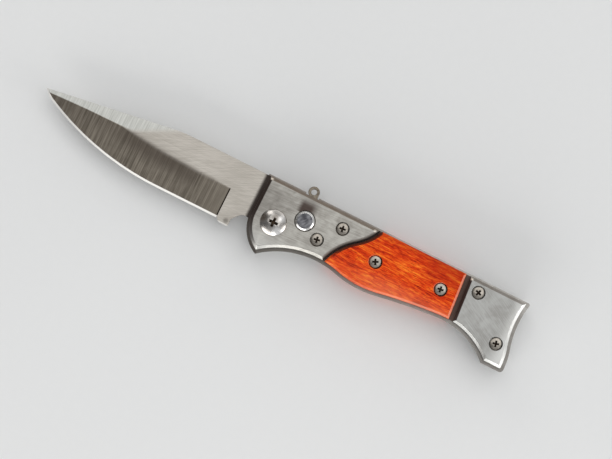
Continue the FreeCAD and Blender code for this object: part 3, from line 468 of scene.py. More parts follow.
pivotLook = {
    **bareLook,
    "dark": (0.39, 0.365, 0.335),
    "light": (0.53, 0.50, 0.465),
    "length": 3.0,
    "width": 0.4,
    "rough": 0.25,
    "smudge": 4.0,
    "bump": (0.3, 0.008),
    "sunk": (0.06, 0.7),
    # dirt and painted shade in the cross, and the colour of the dome's painted dark reflections
    "grimeAndShade": (0.075, 0.052, 0.034),
    "paintedDarkReflection": ((-4.5, 0.2, 3.0, 0.85), (0.0, 2.0, 2.0, 0.5)),  # painted dark reflections on the dome: along, up, reach and amount
    # painted highlights on the dome
    "paintedReflection": ((2.8, -2.6, 2.8, 0.85), (2.3, 2.5, 2.0, 0.6)),
    "paintedShine": (0.92, 0.90, 0.87),
    "foot": (13.7, 13.9),  # the spots are on the dome alone
}
buttonLook = {
    **bareLook,
    "dark": (0.050, 0.050, 0.055),
    "light": (0.195, 0.195, 0.205),
    "length": 2.6,
    "width": 0.5,
    "turn": 1.0,
    "rough": 0.22,
    "smudge": 2.4,
    "centre": (10.3, 5.75),
    "ring": (2.84, 2.96),  # a bright turned edge round a darker face
    "edge": (0.72, 0.705, 0.68),
}
catchLook = {
    **bareLook,
    "dark": (0.084, 0.067, 0.050),
    "light": (0.262, 0.228, 0.180),
    "length": 2.0,
    "turn": 0.8,
    "smudge": 1.8,
    "paintedLight": {
        # painted shade on the surfaces facing the nose
        "nose": (0.060, 0.038, 0.028),
        "noseShadeFacing": (-0.30, -0.62),
        "noseShadeFall": (-9.0, 9.0, 0.85, 0.85),
    },
}
springLook = {
    **bareLook,
    "dark": (0.175, 0.17, 0.167),
    "light": (0.335, 0.326, 0.32),
    "length": 1.2,
    "width": 0.1,
}
washerLook = {
    **bareLook,
    "dark": (0.32, 0.196, 0.087),
    "light": (0.48, 0.305, 0.145),
    "turn": 0.9,
}
steelWear = {  # what the steels share
    "brush": {"detail": 3, "rough": 0.62},
    "scratch": {"detail": 2, "rough": 0.5, "shift": 9},
    "scratchShares": (0.7, 0.45),  # of a brush mark's length and width
    "scratchDeep": 2.0,
    "scratchTurn": -0.5,
    "scratchRange": (0.62, 0.72),
    "scratchTone": 0.35,
    "scratchHeight": 0.4,
    "smudge": {"detail": 3, "rough": 0.55, "shift": 4, "warp": 0.6},
    "toneWeights": (0.5, 0.5),  # of brush and smudge
    "toneRange": (0.34, 0.66),
    "roughWeights": (0.12, 0.10),
    "middleGrey": 0.5,
    "paintedLightDull": 0.75,
    "darkReflectionDull": 0.6,
    "grimeRough": 0.3,
}


def makeSteel(name, look, wear=steelWear):
    material, place = startFinish(name)
    x, y, z = axesOf(place)
    long, wide, turn = look["length"], look["width"], look["turn"]
    brush = grain(place, (long, wide, wide), turn=turn, **wear["brush"])
    longShare, wideShare = wear["scratchShares"]
    scratchSize = (long * longShare, wide * wideShare, wear["scratchDeep"])
    scratch = grain(place, scratchSize, turn=turn + wear["scratchTurn"], **wear["scratch"])
    scratch = scratch.ease(*wear["scratchRange"])
    smudge = grain(place, (look["smudge"],) * 3, **wear["smudge"])
    tone = weighed((brush, smudge), wear["toneWeights"]).ease(*wear["toneRange"])
    colour = tone.mix(look["dark"], look["light"])
    colour = (scratch * wear["scratchTone"]).mix(colour, look["light"])
    grey = wear["middleGrey"]
    rough = look["rough"] + weighed((brush - grey, smudge - grey), wear["roughWeights"])
    dull = 0.0
    # painted shade and highlights
    if "paintedLight" in look:
        colour, dull = lightPainted(place, colour, look["paintedLight"], smudge)
    if "linerShade" in look:
        colour, dull = linerShading(place, colour, look["linerShade"])
    metal = 1.0 - dull * wear["paintedLightDull"]
    # painted dark reflections on the pivot's dome
    for spot in look.get("paintedDarkReflection", ()):
        paintedDarkReflection = spotAt(x, y, spot) * z.ease(*look["foot"])
        colour = paintedDarkReflection.mix(colour, look["grimeAndShade"])
        metal = metal - paintedDarkReflection * wear["darkReflectionDull"]
    # painted highlights on the pivot's dome
    for spot in look.get("paintedReflection", ()):
        colour = (spotAt(x, y, spot) * z.ease(*look["foot"])).mix(colour, look["paintedShine"])
    if "ring" in look:
        colour = awayFrom(x, y, *look["centre"]).ease(*look["ring"]).mix(colour, look["edge"])
    if "sunk" in look:  # dirt and painted shade in the cross of a screw
        sunk = place.node("Attribute", {"attribute_name": "sink"}, out="Fac").ease(*look["sunk"])
        colour = sunk.mix(colour, look["grimeAndShade"])
        rough = rough + sunk * wear["grimeRough"]
    height = brush + scratch * wear["scratchHeight"]
    sockets = {"Base Color": colour, "Metallic": metal, "Roughness": rough}
    endFinish(place, look["bump"], height, sockets)
    return material


def linerShading(place, colour, look):  # painted shade on the liners where the wood ends, along the nose, on the ledges and under the spine
    x, y, z = axesOf(place)
    ledge = y.ease(*look["ledgeFall"]) * x.ease(*look["ledgeRun"])
    colour = ledge.mix(colour, look["ledgeShade"])
    spine = y.ease(*look["spineRise"]) * x.ease(*look["spineRun"])
    colour = spine.mix(colour, look["spineShade"])
    outer = z.ease(*look["frontFace"]) + z.ease(*look["backFace"])  # only on the faces under the scales
    inside = look["noseRadius"] - awayFrom(x, y.atMost(0.0), look["noseCentre"], 0.0)
    nose = inside.ease(*look["noseLedge"]) * x.ease(*look["noseRun"]) * y.ease(*look["noseTop"])
    nose = nose * y.ease(*look["noseRise"]) * outer
    colour = nose.mix(colour, look["nose"])
    joints = 0.0
    for left, right, floor in look["joints"]:
        joints = joints + x.ease(*left) * x.ease(*right) * y.ease(*floor)
    joints = joints * y.ease(*look["jointTop"]) * outer
    return joints.mix(colour, look["joint"]), (nose + joints).atMost(1.0)


def lightPainted(place, colour, look, smudge):  # painted shade on bevels facing the nose, the wood and the spine, painted highlights on ends and upper corners, and the button's painted shadow
    x, y, z = axesOf(place)
    across, up = facingOf(place)[:2]
    # a painted highlight towards one end
    if "highlightRun" in look:
        colour = (x, y)[look["highlightAxis"]].ease(*look["highlightRun"]).mix(colour, look["paintedHighlight"])
    if "dim" in look:
        # painted shade: the face darker towards the nose
        dim = x.ease(*look["dim"]["along"]) * y.ease(*look["dim"]["low"]) * y.ease(*look["dim"]["high"])
        colour = dim.mix(colour, look["nose"])
    # painted shade on the surfaces facing the nose
    nose = across.ease(*look["noseShadeFacing"]) * y.ease(*look["noseShadeFall"])
    colour = nose.mix(colour, look["nose"])
    dull = nose
    # painted shade on the bevel by the wood
    if "joint" in look:
        bevel = look["joint"]
        joint = across.ease(*bevel["facing"]) * x.ease(*bevel["along"])
        colour = joint.mix(colour, z.ease(*bevel["rise"]).mix(bevel["low"], bevel["high"]))
        dull = dull + joint
    if "spine" in look:
        # painted shade on the surfaces facing the spine
        colour = up.ease(*look["spineShadeFacing"]).mix(colour, look["spine"])
    # the button's painted shadow above it
    if "buttonShadow" in look:
        buttonShadow = look["buttonShadow"]
        wide = x.ease(*buttonShadow["left"]) * x.ease(*buttonShadow["right"])
        tall = y.ease(*buttonShadow["low"]) * y.ease(*buttonShadow["high"])
        paintedReflection = wide * tall * z.ease(*buttonShadow["face"]) * (smudge * buttonShadow["cloud"] + buttonShadow["least"])
        paintedReflection = paintedReflection.atMost(1.0) * buttonShadow["amount"]
        colour = paintedReflection.mix(colour, buttonShadow["colour"])
        dull = dull + paintedReflection * buttonShadow["dull"]
    # painted highlights on the upper corners
    for spot in look.get("bevelHighlights", ()):
        bevelHighlight = spotAt(x, y, spot) * abs(z - look["middle"]).ease(*look["bevelHighlightRise"])
        colour = bevelHighlight.mix(colour, look["bevelHighlight"])
    return colour, dull.atMost(1.0)


# Wood: an orange red hardwood with dark flecks, short pores and a thin lacquer, with a painted sheen, painted
# highlights on the lower and rear bevels, and a painted shadow on the front bevel.
woodLook = {
    "cloud": {"size": (11, 5, 5), "detail": 3, "rough": 0.55, "turn": 0.02, "shift": 3, "warp": 0.4},
    "figure": {"size": (12, 1.4, 1.8), "detail": 4, "rough": 0.62, "turn": 0.02, "shift": 21, "warp": 0.35},
    "fleck": {"size": (3.3, 0.42, 0.6), "detail": 3, "rough": 0.66, "turn": -0.01, "shift": 2, "warp": 0.2},
    "fibre": {"size": (2.6, 0.15, 0.18), "detail": 2, "rough": 0.6, "turn": 0.02},
    "pores": {"size": (1.7, 0.24, 0.26), "detail": 1, "rough": 0.4, "turn": 0.02, "shift": 31},
    "toneWeights": (0.18, 0.27, 0.36, 0.19),  # of cloud, figure, fleck and fibre
    "toneStops": (  # from dark to light grain
        (0.395, (0.22, 0.009, 0.001)),
        (0.46, (0.60, 0.030, 0.002)),
        (0.52, (0.81, 0.080, 0.006)),
        (0.605, (1.0, 0.26, 0.022)),
    ),
    "pore": (0.16, 0.008, 0.001),
    "poreRange": (0.60, 0.72),
    "poreAmount": 0.7,
    "shade": (0.36, 0.016, 0.002),
    "topShade": (11.0, 15.2, 0.0, 0.4),
    "redRise": (5.5, 9.0),  # redder high at both ends
    "redEnds": ((55.0, 63.0, 0.0, 0.38), (42.0, 36.0, 0.0, 0.2)),
    # a painted sheen towards the belly
    "sheen": (0.82, 0.22, 0.105),
    "sheenFall": (3.0, -5.0),
    "sheenRun": (30.0, 52.0, 0.3, 1.2),
    "sheenLeast": 0.2,
    "sheenCloud": 0.3,
    "lip": (0.86, 0.34, 0.22),  # painted highlight on the bevels towards the belly and the pommel
    "lipAcross": (0.3, 0.6),
    "lipDown": (-0.3, -0.6),
    "lipRun": (30.0, 62.0, 0.2, 0.8),
    "lipOut": (0.3, 0.55),  # not on the walls
    "lipLeast": 0.35,
    "lipFleck": 0.6,
    "dark": (0.050, 0.018, 0.011),  # painted shadow on the bevel towards the bolster
    "shadowAcross": (-0.12, -0.34, 0.0, 0.88),
    "shadowRise": (-3.0, 2.0),
    "heights": (0.5, 0.3, -0.8),  # of fibre, fleck and pores
    "bump": (0.4, 0.03),
    "rough": 0.45,
    "roughWeights": (0.12, 0.2),  # of fibre and pores
    "lacquer": {"Coat Weight": 0.02, "Coat Roughness": 0.15, "IOR": 1.45, "Specular IOR Level": 0.09},
}


def makeWood(look):
    material, place = startFinish("lacquered_red_wood")
    x, y = axesOf(place)[:2]
    across, up, out = facingOf(place)
    cloud = grain(place, **look["cloud"])
    figure = grain(place, **look["figure"])
    fleck = grain(place, **look["fleck"])
    fibre = grain(place, **look["fibre"])
    pores = grain(place, **look["pores"]).ease(*look["poreRange"])
    tone = weighed((cloud, figure, fleck, fibre), look["toneWeights"])
    colour = place.node("ValToRGB", {"stops": look["toneStops"]}, {0: tone})
    colour = (pores * look["poreAmount"]).mix(colour, look["pore"])
    colour = y.ease(*look["topShade"]).mix(colour, look["shade"])
    rear, front = look["redEnds"]
    redder = y.ease(*look["redRise"]) * (x.ease(*rear) + x.ease(*front))
    colour = redder.mix(colour, look["shade"])
    # a painted sheen towards the belly
    sheen = y.ease(*look["sheenFall"]) * x.ease(*look["sheenRun"])
    colour = (sheen * (look["sheenLeast"] + cloud * look["sheenCloud"])).mix(colour, look["sheen"])
    # painted highlights on the bevels towards the belly and the pommel
    lipHighlights = across.ease(*look["lipAcross"]) + up.ease(*look["lipDown"]) * x.ease(*look["lipRun"])
    lipHighlights = lipHighlights.atMost(1.0) * abs(out).ease(*look["lipOut"])
    colour = (lipHighlights * (look["lipLeast"] + fleck * look["lipFleck"])).mix(colour, look["lip"])
    # painted shadow on the bevel towards the bolster
    shadow = across.ease(*look["shadowAcross"]) * y.ease(*look["shadowRise"])
    colour = shadow.mix(colour, look["dark"])
    height = weighed((fibre, fleck, pores), look["heights"])
    rough = look["rough"] + weighed((fibre, pores), look["roughWeights"])
    sockets = {"Base Color": colour, "Roughness": rough, **look["lacquer"]}
    endFinish(place, look["bump"], height, sockets)
    return material


finishes = {
    "blade_steel": makeBladeSteel(bladeLook),
    "bolster_steel": makeSteel("brushed_bolster_steel", bolsterLook),
    "pommel_steel": makeSteel("brushed_pommel_steel", pommelLook),
    "liner_steel": makeSteel("satin_liner_steel", linerLook),
    "handle_wood": makeWood(woodLook),
    "pivot_metal": makeSteel("polished_pivot_metal", pivotLook),
    "screw_metal": makeSteel("plated_screw_metal", screwLook),
    "button_metal": makeSteel("polished_button_metal", buttonLook),
    "catch_metal": makeSteel("plated_catch_metal", catchLook),
    "inner_steel": makeSteel("tumbled_inner_steel", innerLook),
    "spring_steel": makeSteel("drawn_spring_steel", springLook),
    "washer_bronze": makeSteel("turned_washer_bronze", washerLook),
}
print("finishes made:", len(finishes))


def plainMesh(work, name):  # the evaluated form as a plain mesh, and the working object gone
    bpy.context.view_layer.update()
    graph = bpy.context.evaluated_depsgraph_get()
    mesh = bpy.data.meshes.new_from_object(work.evaluated_get(graph))
    mesh.name = name
    bpy.data.objects.remove(work)
    return mesh


def workObject(data):
    work = bpy.data.objects.new("work", data)
    bpy.context.scene.collection.objects.link(work)
    return work


def shadeSmooth(mesh):
    mesh.polygons.foreach_set("use_smooth", [True] * len(mesh.polygons))


def addPiece(name, mesh, finish, body, slot, *replaced):  # without a body, the piece is blended later
    mesh.materials.clear()
    mesh.materials.append(finishes[finish])
    piece = bpy.data.objects.new(name, mesh)
    bpy.context.scene.collection.objects.link(piece)
    if body:
        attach(piece, body)
    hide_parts(*replaced)
    return piece


# Handle pieces with eased edges: each is its node's form, merged, with every sharp edge broken.
easedEdges = {  # node: finish, slot, body, width of the broken edge in millimetres
    "bolster_front": ("bolster_steel", "bolster_steel", "handle", 0.15),
    "bolster_back": ("bolster_steel", "bolster_steel", "handle", 0.15),
    "pommel_front": ("pommel_steel", "bolster_steel", "handle", 0.15),
    "pommel_back": ("pommel_steel", "bolster_steel", "handle", 0.15),
    "wood_scale_front": ("handle_wood", "handle_wood", "handle", 0.25),
    "wood_scale_back": ("handle_wood", "handle_wood", "handle", 0.25),
    "liner_front": ("liner_steel", "liner_steel", "handle", 0.10),
    "liner_back": ("liner_steel", "liner_steel", "handle", 0.10),
    "push_button": ("button_metal", "button_metal", "button", 0.12),
    "safety_slide": ("catch_metal", "catch_metal", "safety", 0.12),
    "pivot_barrel": ("pivot_metal", "pivot_metal", "handle", 0.10),
}
easing = {"weld": 0.002, "flat": 0.3, "sharp": 28.0, "segments": 3}  # angles in degrees


def easedForm(nodeName, width):
    form = bmesh.new()
    form.from_mesh(nodes[nodeName].data)
    bmesh.ops.remove_doubles(form, verts=form.verts, dist=easing["weld"] * mm)
    bmesh.ops.dissolve_limit(
        form, angle_limit=math.radians(easing["flat"]), verts=form.verts, edges=form.edges
    )
    mesh = bpy.data.meshes.new(nodeName + "_form")
    form.to_mesh(mesh)
    form.free()
    for layer in [a for a in mesh.attributes if a.name == "custom_normal"]:
        mesh.attributes.remove(layer)
    shadeSmooth(mesh)
    work = workObject(mesh)
    bevel = work.modifiers.new("brokenEdge", "BEVEL")
    bevel.width = width * mm
    bevel.segments = easing["segments"]
    bevel.limit_method = "ANGLE"
    bevel.angle_limit = math.radians(easing["sharp"])
    bevel.use_clamp_overlap = False
    bevel.harden_normals = True
    return plainMesh(work, nodeName + "_eased")


for nodeName, (finish, slot, body, width) in easedEdges.items():
    addPiece(nodeName + "_eased", easedForm(nodeName, width), finish, body, slot, nodeName)
print("eased pieces:", len(easedEdges))


# Screws are turned from a profile, then two tapered bars cut the cross.
scaleScrew = {
    "places": (  # along, up, and the turn of its cross on the show face in degrees
        (17.40, 1.50, 10.6), (24.19, 9.40, 6.6), (40.59, 3.90, 24.0),
        (66.90, 5.59, 6.6), (80.14, 10.81, -18.4), (94.41, -3.30, 14.6),
    ),
    "frontFace": 13.8,
    "backFace": 0.0,
    "profile": (  # radius and height from the scale's face
        (0.0, -0.10), (0.7, -0.13), (1.3, -0.21), (1.8, -0.31), (2.1, -0.39), (2.26, -0.48),
        (2.34, -0.62), (2.35, -0.8), (2.35, -1.7), (1.2, -1.7), (1.2, -5.0), (1.1, -5.1), (0.0, -5.1),
    ),
    "segments": 40,
    "recessTop": (1.38, 0.40),  # half span and half width of one arm of the cross
    "recessFloor": (0.7, 0.24),
    "recessDepth": 1.3,
    "bevel": 0.04,
    "spareTurn": 44.0,
    "seed": 7,
}
pivotScrew = {
    "face": 13.8,
    "profile": (
        (0.0, 2.3), (0.9, 2.25), (1.8, 2.10), (2.7, 1.83), (3.5, 1.46), (4.2, 1.04), (4.7, 0.70),
        (4.98, 0.46), (5.08, 0.28), (5.1, 0.12), (5.1, 0.0), (1.5, 0.0), (1.5, -6.8), (1.3, -7.0),
        (0.0, -7.0),
    ),
    "segments": 72,
    "recessTop": (2.1, 0.56),
    "recessFloor": (1.0, 0.30),
    "recessDepth": -0.5,  # the floor stays above the scale's face
    "bevel": 0.09,
}
crossCut = {
    "weld": 0.002,
    "over": 0.2,  # how far a bar stands over the crown
    "rim": 0.2,  # how far round the cross a point can count as sunk
    "segments": 2,
    "sharp": 36.0,  # in degrees
    "crease": 32.0,
}


def turnedScrew(name, look):
    form = bmesh.new()
    rings = [form.verts.new((r * mm, 0, z * mm)) for r, z in look["profile"]]
    edges = [form.edges.new(pair) for pair in zip(rings, rings[1:])]
    bmesh.ops.spin(
        form, geom=rings + edges, axis=(0, 0, 1), cent=(0, 0, 0), angle=2 * math.pi, steps=look["segments"]
    )
    bmesh.ops.remove_doubles(form, verts=form.verts, dist=crossCut["weld"] * mm)
    bmesh.ops.recalc_face_normals(form, faces=form.faces)
    mesh = bpy.data.meshes.new(name + "_blank")
    form.to_mesh(mesh)
    form.free()
    work = workObject(mesh)
    bars = [workObject(crossBar(look, swing)) for swing in (False, True)]
    for bar in bars:
        cut = work.modifiers.new("recess", "BOOLEAN")
        cut.operation = "DIFFERENCE"
        cut.solver = "EXACT"
        cut.object = bar
    soften = work.modifiers.new("brokenEdge", "BEVEL")
    soften.width = look["bevel"] * mm
    soften.segments = crossCut["segments"]
    soften.limit_method = "ANGLE"
    soften.angle_limit = math.radians(crossCut["sharp"])
    mesh = plainMesh(work, name)
    for bar in bars:
        bpy.data.objects.remove(bar)
    shadeSmooth(mesh)
    mesh.set_sharp_from_angle(angle=math.radians(crossCut["crease"]))
    layer = mesh.attributes.new("sink", "FLOAT", "POINT")  # how far a point lies under the crown
    layer.data.foreach_set("value", [sunkBy(look, point.co / mm) for point in mesh.vertices])
    return mesh


def crossBar(look, swing):
    bar = bmesh.new()
    top, low = [
        [
            bar.verts.new((sx * span, sy * width, z) if swing else (sx * width, sy * span, z))
            for sx, sy in ((-1, -1), (1, -1), (1, 1), (-1, 1))
        ]
        for (span, width), z in (
            (look["recessTop"], look["profile"][0][1] + crossCut["over"]),
            (look["recessFloor"], -look["recessDepth"]),
        )
    ]
    bar.faces.new(top)
    bar.faces.new(low[::-1])
    for i in range(4):
        bar.faces.new((top[i], low[i], low[(i + 1) % 4], top[(i + 1) % 4]))
    bmesh.ops.scale(bar, vec=(mm, mm, mm), verts=bar.verts)
    bmesh.ops.recalc_face_normals(bar, faces=bar.faces)
    mesh = bpy.data.meshes.new("cross_bar")
    bar.to_mesh(mesh)
    bar.free()
    return mesh


def sunkBy(look, spot):
    away = math.hypot(spot.x, spot.y)
    for (r0, z0), (r1, z1) in zip(look["profile"], look["profile"][1:]):
        if r0 <= away <= r1 and r1 > r0:
            crown = z0 + (z1 - z0) * (away - r0) / (r1 - r0)
            return max(crown - spot.z, 0.0) if away < look["recessTop"][0] + crossCut["rim"] else 0.0
    return 0.0


pivotMesh = turnedScrew("pivot_screw_turned", pivotScrew)
pivotMesh.transform(Matrix.Translation((0, 0, pivotScrew["face"] * mm)))
addPiece("pivot_screw_turned", pivotMesh, "pivot_metal", "handle", "pivot_metal", "pivot_screw")
print("pivot screw turned")


def setInput(modifier, tree, values):  # by identifier, before the first evaluation
    for item in tree.interface.items_tree:
        if item.item_type == "SOCKET" and item.in_out == "INPUT" and item.name in values:
            modifier[item.identifier] = values[item.name]


def startTree(name, inputs):
    tree = bpy.data.node_groups.new(name, "GeometryNodeTree")
    for label, kind in {"Geometry": "Geometry", **inputs}.items():
        tree.interface.new_socket(name=label, in_out="INPUT", socket_type="NodeSocket" + kind)
    tree.interface.new_socket(name="Geometry", in_out="OUTPUT", socket_type="NodeSocketGeometry")

    def step(kind, settings=None, values=None):
        made = tree.nodes.new(kind)
        for label, value in (settings or {}).items():
            setattr(made, label, value)
        for key, value in (values or {}).items():
            if isinstance(value, bpy.types.NodeSocket):
                tree.links.new(value, made.inputs[key])
            else:
                made.inputs[key].default_value = value
        return made

    return tree, step


def endTree(step, geometry, metal):  # real geometry with its finish
    real = step("GeometryNodeRealizeInstances", {}, {"Geometry": geometry}).outputs[0]
    painted = step("GeometryNodeSetMaterial", {}, {"Geometry": real, "Material": metal}).outputs[0]
    step("NodeGroupOutput", {}, {0: painted})


def screwTree():
    inputs = {"Screw": "Object", "Spare Turn": "Float", "Seed": "Int", "Metal": "Material"}
    tree, step = startTree("screwSetting", inputs)
    given = step("NodeGroupInput").outputs
    turn = step("GeometryNodeInputNamedAttribute", {"data_type": "FLOAT"}, {"Name": "turn"}).outputs[0]
    flip = step("GeometryNodeInputNamedAttribute", {"data_type": "FLOAT"}, {"Name": "flip"}).outputs[0]
    least = step("ShaderNodeMath", {"operation": "MULTIPLY"}, {0: given["Spare Turn"], 1: -1.0}).outputs[0]
    chance = step(
        "FunctionNodeRandomValue",
        {"data_type": "FLOAT"},
        {2: least, 3: given["Spare Turn"], "Seed": given["Seed"]},
    ).outputs[1]
    spare = step("ShaderNodeMath", {"operation": "MULTIPLY"}, {0: chance, 1: flip}).outputs[0]
    swing = step("ShaderNodeMath", {"operation": "ADD"}, {0: turn, 1: spare}).outputs[0]
    over = step("ShaderNodeMath", {"operation": "MULTIPLY"}, {0: flip, 1: math.pi}).outputs[0]
    angles = step("ShaderNodeCombineXYZ", {}, {"X": over, "Z": swing}).outputs[0]
    aim = step("FunctionNodeEulerToRotation", {}, {0: angles}).outputs[0]
    shape = step("GeometryNodeObjectInfo", {}, {"Object": given["Screw"]}).outputs["Geometry"]
    points = step("GeometryNodeMeshToPoints", {}, {"Mesh": given["Geometry"]}).outputs[0]
    placed = step(
        "GeometryNodeInstanceOnPoints", {}, {"Points": points, "Instance": shape, "Rotation": aim}
    ).outputs[0]
    endTree(step, placed, given["Metal"])
    return tree


def setScrews(look):
    spots = [(x, y, look["frontFace"], math.radians(turn), 0.0) for x, y, turn in look["places"]]
    spots += [(x, y, look["backFace"], 0.0, 1.0) for x, y, turn in look["places"]]
    mesh = bpy.data.meshes.new("screw_spots")
    mesh.from_pydata([(x * mm, y * mm, z * mm) for x, y, z, turn, flip in spots], [], [])
    for label, column in (("turn", 3), ("flip", 4)):
        layer = mesh.attributes.new(label, "FLOAT", "POINT")
        layer.data.foreach_set("value", [spot[column] for spot in spots])
    work = workObject(mesh)
    form = workObject(turnedScrew("scale_screw", look))
    tree = screwTree()
    setting = work.modifiers.new("screwSetting", "NODES")
    setting.node_group = tree
    setInput(setting, tree, {
        "Screw": form,
        "Spare Turn": math.radians(look["spareTurn"]),
        "Seed": look["seed"],
        "Metal": finishes["screw_metal"],
    })
    made = plainMesh(work, "scale_screws")
    bpy.data.objects.remove(form)
    bpy.data.node_groups.remove(tree)
    return made


scaleKinds = ("bolster", "wood", "pommel")
screwNodes = [f"{kind}_screws_{side}" for kind in scaleKinds for side in ("front", "back")]
addPiece("scale_screws", setScrews(scaleScrew), "screw_metal", "handle", "screw_metal", *screwNodes)
print("screws set:", 2 * len(scaleScrew["places"]))


# Springs: round wire swept along its wound path.
openingWire = {
    "wire": 0.8,
    "coil": 4.6,
    "turns": 2,
    "low": 2.25,
    "rise": 2.4,
    "leg": 5.4,
    "legSteps": 6,
    "steps": 40,  # in a turn
    "bend": 0.9,
    "bendSteps": 8,
    "top": 7.15,
    "endSteps": 4,
}
buttonWire = {
    "wire": 0.4,
    "coil": 2.625,
    "turns": 3,
    "low": 10.05,
    "high": 12.75,
    "at": (10.3, 5.75),
    "steps": 40,
}
wireForm = {"sides": 14, "crease": 45.0}


def openingPath(look):
    r, low, bend = look["coil"], look["low"], look["bend"]
    path = [(-r, look["leg"] * (1 - i / look["legSteps"]), low) for i in range(look["legSteps"])]
    count = look["turns"] * look["steps"]
    for i in range(count + 1):
        angle = math.pi + 2 * math.pi * look["turns"] * i / count
        path.append((r * math.cos(angle), r * math.sin(angle), low + look["rise"] * i / count))
    foot = low + look["rise"]
    for i in range(1, look["bendSteps"] + 1):  # the wire turns up into the blade
        angle = math.pi / 2 * i / look["bendSteps"]
        path.append((-r, -bend * math.sin(angle), foot + bend * (1 - math.cos(angle))))
    rest, count = look["top"] - foot - bend, look["endSteps"]
    path += [(-r, -bend, foot + bend + rest * i / count) for i in range(1, count + 1)]
    return path


def buttonPath(look):
    count = look["turns"] * look["steps"]
    turn = 2 * math.pi * look["turns"] / count
    return [
        (
            look["at"][0] + look["coil"] * math.cos(turn * i),
            look["at"][1] + look["coil"] * math.sin(turn * i),
            look["low"] + (look["high"] - look["low"]) * i / count,
        )
        for i in range(count + 1)
    ]


def wireTree():
    tree, step = startTree("woundWire", {"Wire Radius": "Float", "Sides": "Int", "Metal": "Material"})
    given = step("NodeGroupInput").outputs
    ring = step(
        "GeometryNodeCurvePrimitiveCircle", {}, {"Resolution": given["Sides"], "Radius": given["Wire Radius"]}
    ).outputs[0]
    swept = step(
        "GeometryNodeCurveToMesh", {}, {"Curve": given["Geometry"], "Profile Curve": ring, "Fill Caps": True}
    ).outputs[0]
    endTree(step, swept, given["Metal"])
    return tree


def windWire(name, path, wire):
    curve = bpy.data.curves.new(name + "_path", "CURVE")
    curve.dimensions = "3D"
    spline = curve.splines.new("POLY")
    spline.points.add(len(path) - 1)
    for point, spot in zip(spline.points, path):
        point.co = (*[axis * mm for axis in spot], 1)
    work = workObject(curve)
    tree = wireTree()
    sweep = work.modifiers.new("woundWire", "NODES")
    sweep.node_group = tree
    setInput(sweep, tree, {
        "Wire Radius": wire / 2 * mm,
        "Sides": wireForm["sides"],
        "Metal": finishes["spring_steel"],
    })
    mesh = plainMesh(work, name)
    bpy.data.node_groups.remove(tree)
    form = bmesh.new()
    form.from_mesh(mesh)
    bmesh.ops.recalc_face_normals(form, faces=form.faces)
    form.to_mesh(mesh)
    form.free()
    shadeSmooth(mesh)
    mesh.set_sharp_from_angle(angle=math.radians(wireForm["crease"]))
    return mesh


openingMesh = windWire("opening_wire", openingPath(openingWire), openingWire["wire"])
openingCoil = addPiece("opening_wire", openingMesh, "spring_steel", None, "spring_steel", "opening_spring")
coilFoot = openingWire["low"] + openingWire["wire"] / 2
coilHead = openingWire["low"] + openingWire["rise"] - openingWire["wire"] / 2
# Its leg stays in the handle, its bent end turns with the blade, and the turns between wind up.
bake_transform(openingCoil, "handle", "blade", start=(0, 0, coilFoot * mm), end=(0, 0, coilHead * mm))
buttonMesh = windWire("button_wire", buttonPath(buttonWire), buttonWire["wire"])
buttonCoil = addPiece("button_wire", buttonMesh, "spring_steel", "handle", "spring_steel", "button_spring")
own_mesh(buttonCoil)
print("springs wound: 2")


# Nodes whose own form is right keep it and take a finish.
keptNodes = {
    "blade": "blade_steel",
    "lock_plunger": "button_metal",
    "washer_front": "washer_bronze",
    "washer_back": "washer_bronze",
    "stop_pin": "inner_steel",
    "safety_pin": "inner_steel",
    "spacer_pins": "inner_steel",
    "back_spacer": "inner_steel",
}
for nodeName, finish in keptNodes.items():
    mesh = nodes[nodeName].data
    if not mesh.materials:
        mesh.materials.append(finishes[finish])
    for holder in nodes[nodeName].material_slots:
        holder.material = finishes[finish]
print("kept nodes finished:", len(keptNodes))


# Studio: a pale floor, soft panels and a camera over the show face.
studio = {
    "floor": 1.6,
    "floorCells": 8,
    "floorDrop": 0.02,  # in millimetres, so that floor and knife share no face
    "floorTone": (0.78, 0.78, 0.77),
    "speck": {"size": (3.0, 3.0, 3.0), "detail": 3, "rough": 0.6},
    "cloud": {"size": (240, 240, 240), "detail": 2, "rough": 0.5},
    "floorWeights": (0.25, 0.75),  # of speck and cloud
    "floorRange": (0.2, 0.8, 0.96, 1.0),
    "floorRough": 0.75,
    "floorBump": (0.05, 0.02),
    "sky": (0.95, 0.97, 1.0),
    "skyLevel": (-0.9, 0.7, 0.138, 0.58),  # dim towards the blade's tip, bright towards the butt
    "panels": {  # where each panel stands, its size in metres and its power in watts
        "overhead": ((0.02, 0.40, 0.95), (1.3, 1.1), 4.55),
        "belly": ((-0.05, -0.80, 0.24), (1.2, 0.46), 5.4),
        "butt": ((0.85, -0.08, 0.22), (0.5, 0.40), 2.35),
        "nose": ((-0.56, 0.56, 0.40), (0.4, 0.3), 0.9),
        "spine": ((0.05, 0.90, 0.26), (1.1, 0.40), 1.1),
    },
    "aim": (0.0, 0.0, 0.008),
}
shot = {
    "lens": 200.0,
    "sensor": 36.0,
    "near": 0.01,
    "width": 0.22874,
    "centre": (0.012020, 0.003158, 0.012),
    "right": (0.89400, 0.44806, 0.0),
    "lean": (0.35, -0.94),  # which way the camera leans off the vertical, along the picture's right and up
    "leanAngle": 2.0,
}


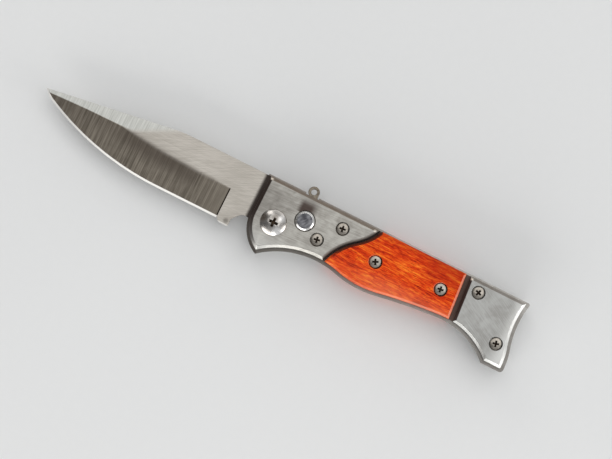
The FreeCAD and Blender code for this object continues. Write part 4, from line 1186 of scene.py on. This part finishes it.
def makeFloor(look):
    material, place = startFinish("pale_studio_floor")
    speck = grain(place, **look["speck"])
    cloud = grain(place, **look["cloud"])
    tone = weighed((speck, cloud), look["floorWeights"]).ease(*look["floorRange"])
    sockets = {"Base Color": tone.tint(look["floorTone"]), "Roughness": look["floorRough"]}
    endFinish(place, look["floorBump"], speck, sockets)
    form = bmesh.new()
    cells = look["floorCells"]
    bmesh.ops.create_grid(form, x_segments=cells, y_segments=cells, size=look["floor"])
    mesh = bpy.data.meshes.new("studio_floor")
    form.to_mesh(mesh)
    form.free()
    mesh.transform(Matrix.Translation((0, 0, -look["floorDrop"] * mm)))
    mesh.materials.append(material)
    floor = bpy.data.objects.new("studio_floor", mesh)
    bpy.context.scene.collection.objects.link(floor)


def makeLights(look):
    world = bpy.data.worlds.new("studio_air")
    world.use_nodes = True
    world.node_tree.nodes.clear()
    flow = Flow(world.node_tree)
    across = axesOf(flow.node("TexCoord", out="Generated"))[0]
    air = flow.node("Background", {}, {"Color": look["sky"], "Strength": across.ease(*look["skyLevel"])})
    flow.node("OutputWorld", {}, {"Surface": air})
    bpy.context.scene.world = world
    for name, (spot, size, power) in look["panels"].items():
        panel = bpy.data.lights.new(name + "_panel", "AREA")
        panel.shape = "RECTANGLE"
        panel.size, panel.size_y = size
        panel.energy = power
        lamp = bpy.data.objects.new(name + "_panel", panel)
        lamp.location = spot
        lamp.rotation_euler = (Vector(look["aim"]) - Vector(spot)).to_track_quat("-Z", "Y").to_euler()
        bpy.context.scene.collection.objects.link(lamp)


def makeCamera(look):
    right = Vector(look["right"]).normalized()
    up = Vector((0, 0, 1)).cross(right)
    lean = (right * look["lean"][0] + up * look["lean"][1]).normalized()
    angle = math.radians(look["leanAngle"])
    back = Vector((0, 0, 1)) * math.cos(angle) + lean * math.sin(angle)
    side = (right - back * right.dot(back)).normalized()
    data = bpy.data.cameras.new("photo_camera")
    data.lens = look["lens"]
    data.sensor_width = look["sensor"]
    data.clip_start = look["near"]
    camera = bpy.data.objects.new("photo_camera", data)
    turn = Matrix((side, back.cross(side), back)).transposed().to_4x4()
    away = look["width"] * look["lens"] / look["sensor"]
    camera.matrix_world = Matrix.Translation(Vector(look["centre"]) + back * away) @ turn
    bpy.context.scene.collection.objects.link(camera)
    bpy.context.scene.camera = camera


makeFloor(studio)
makeLights(studio)
makeCamera(shot)
bpy.context.scene.view_settings.view_transform = "Standard"
print("studio set")
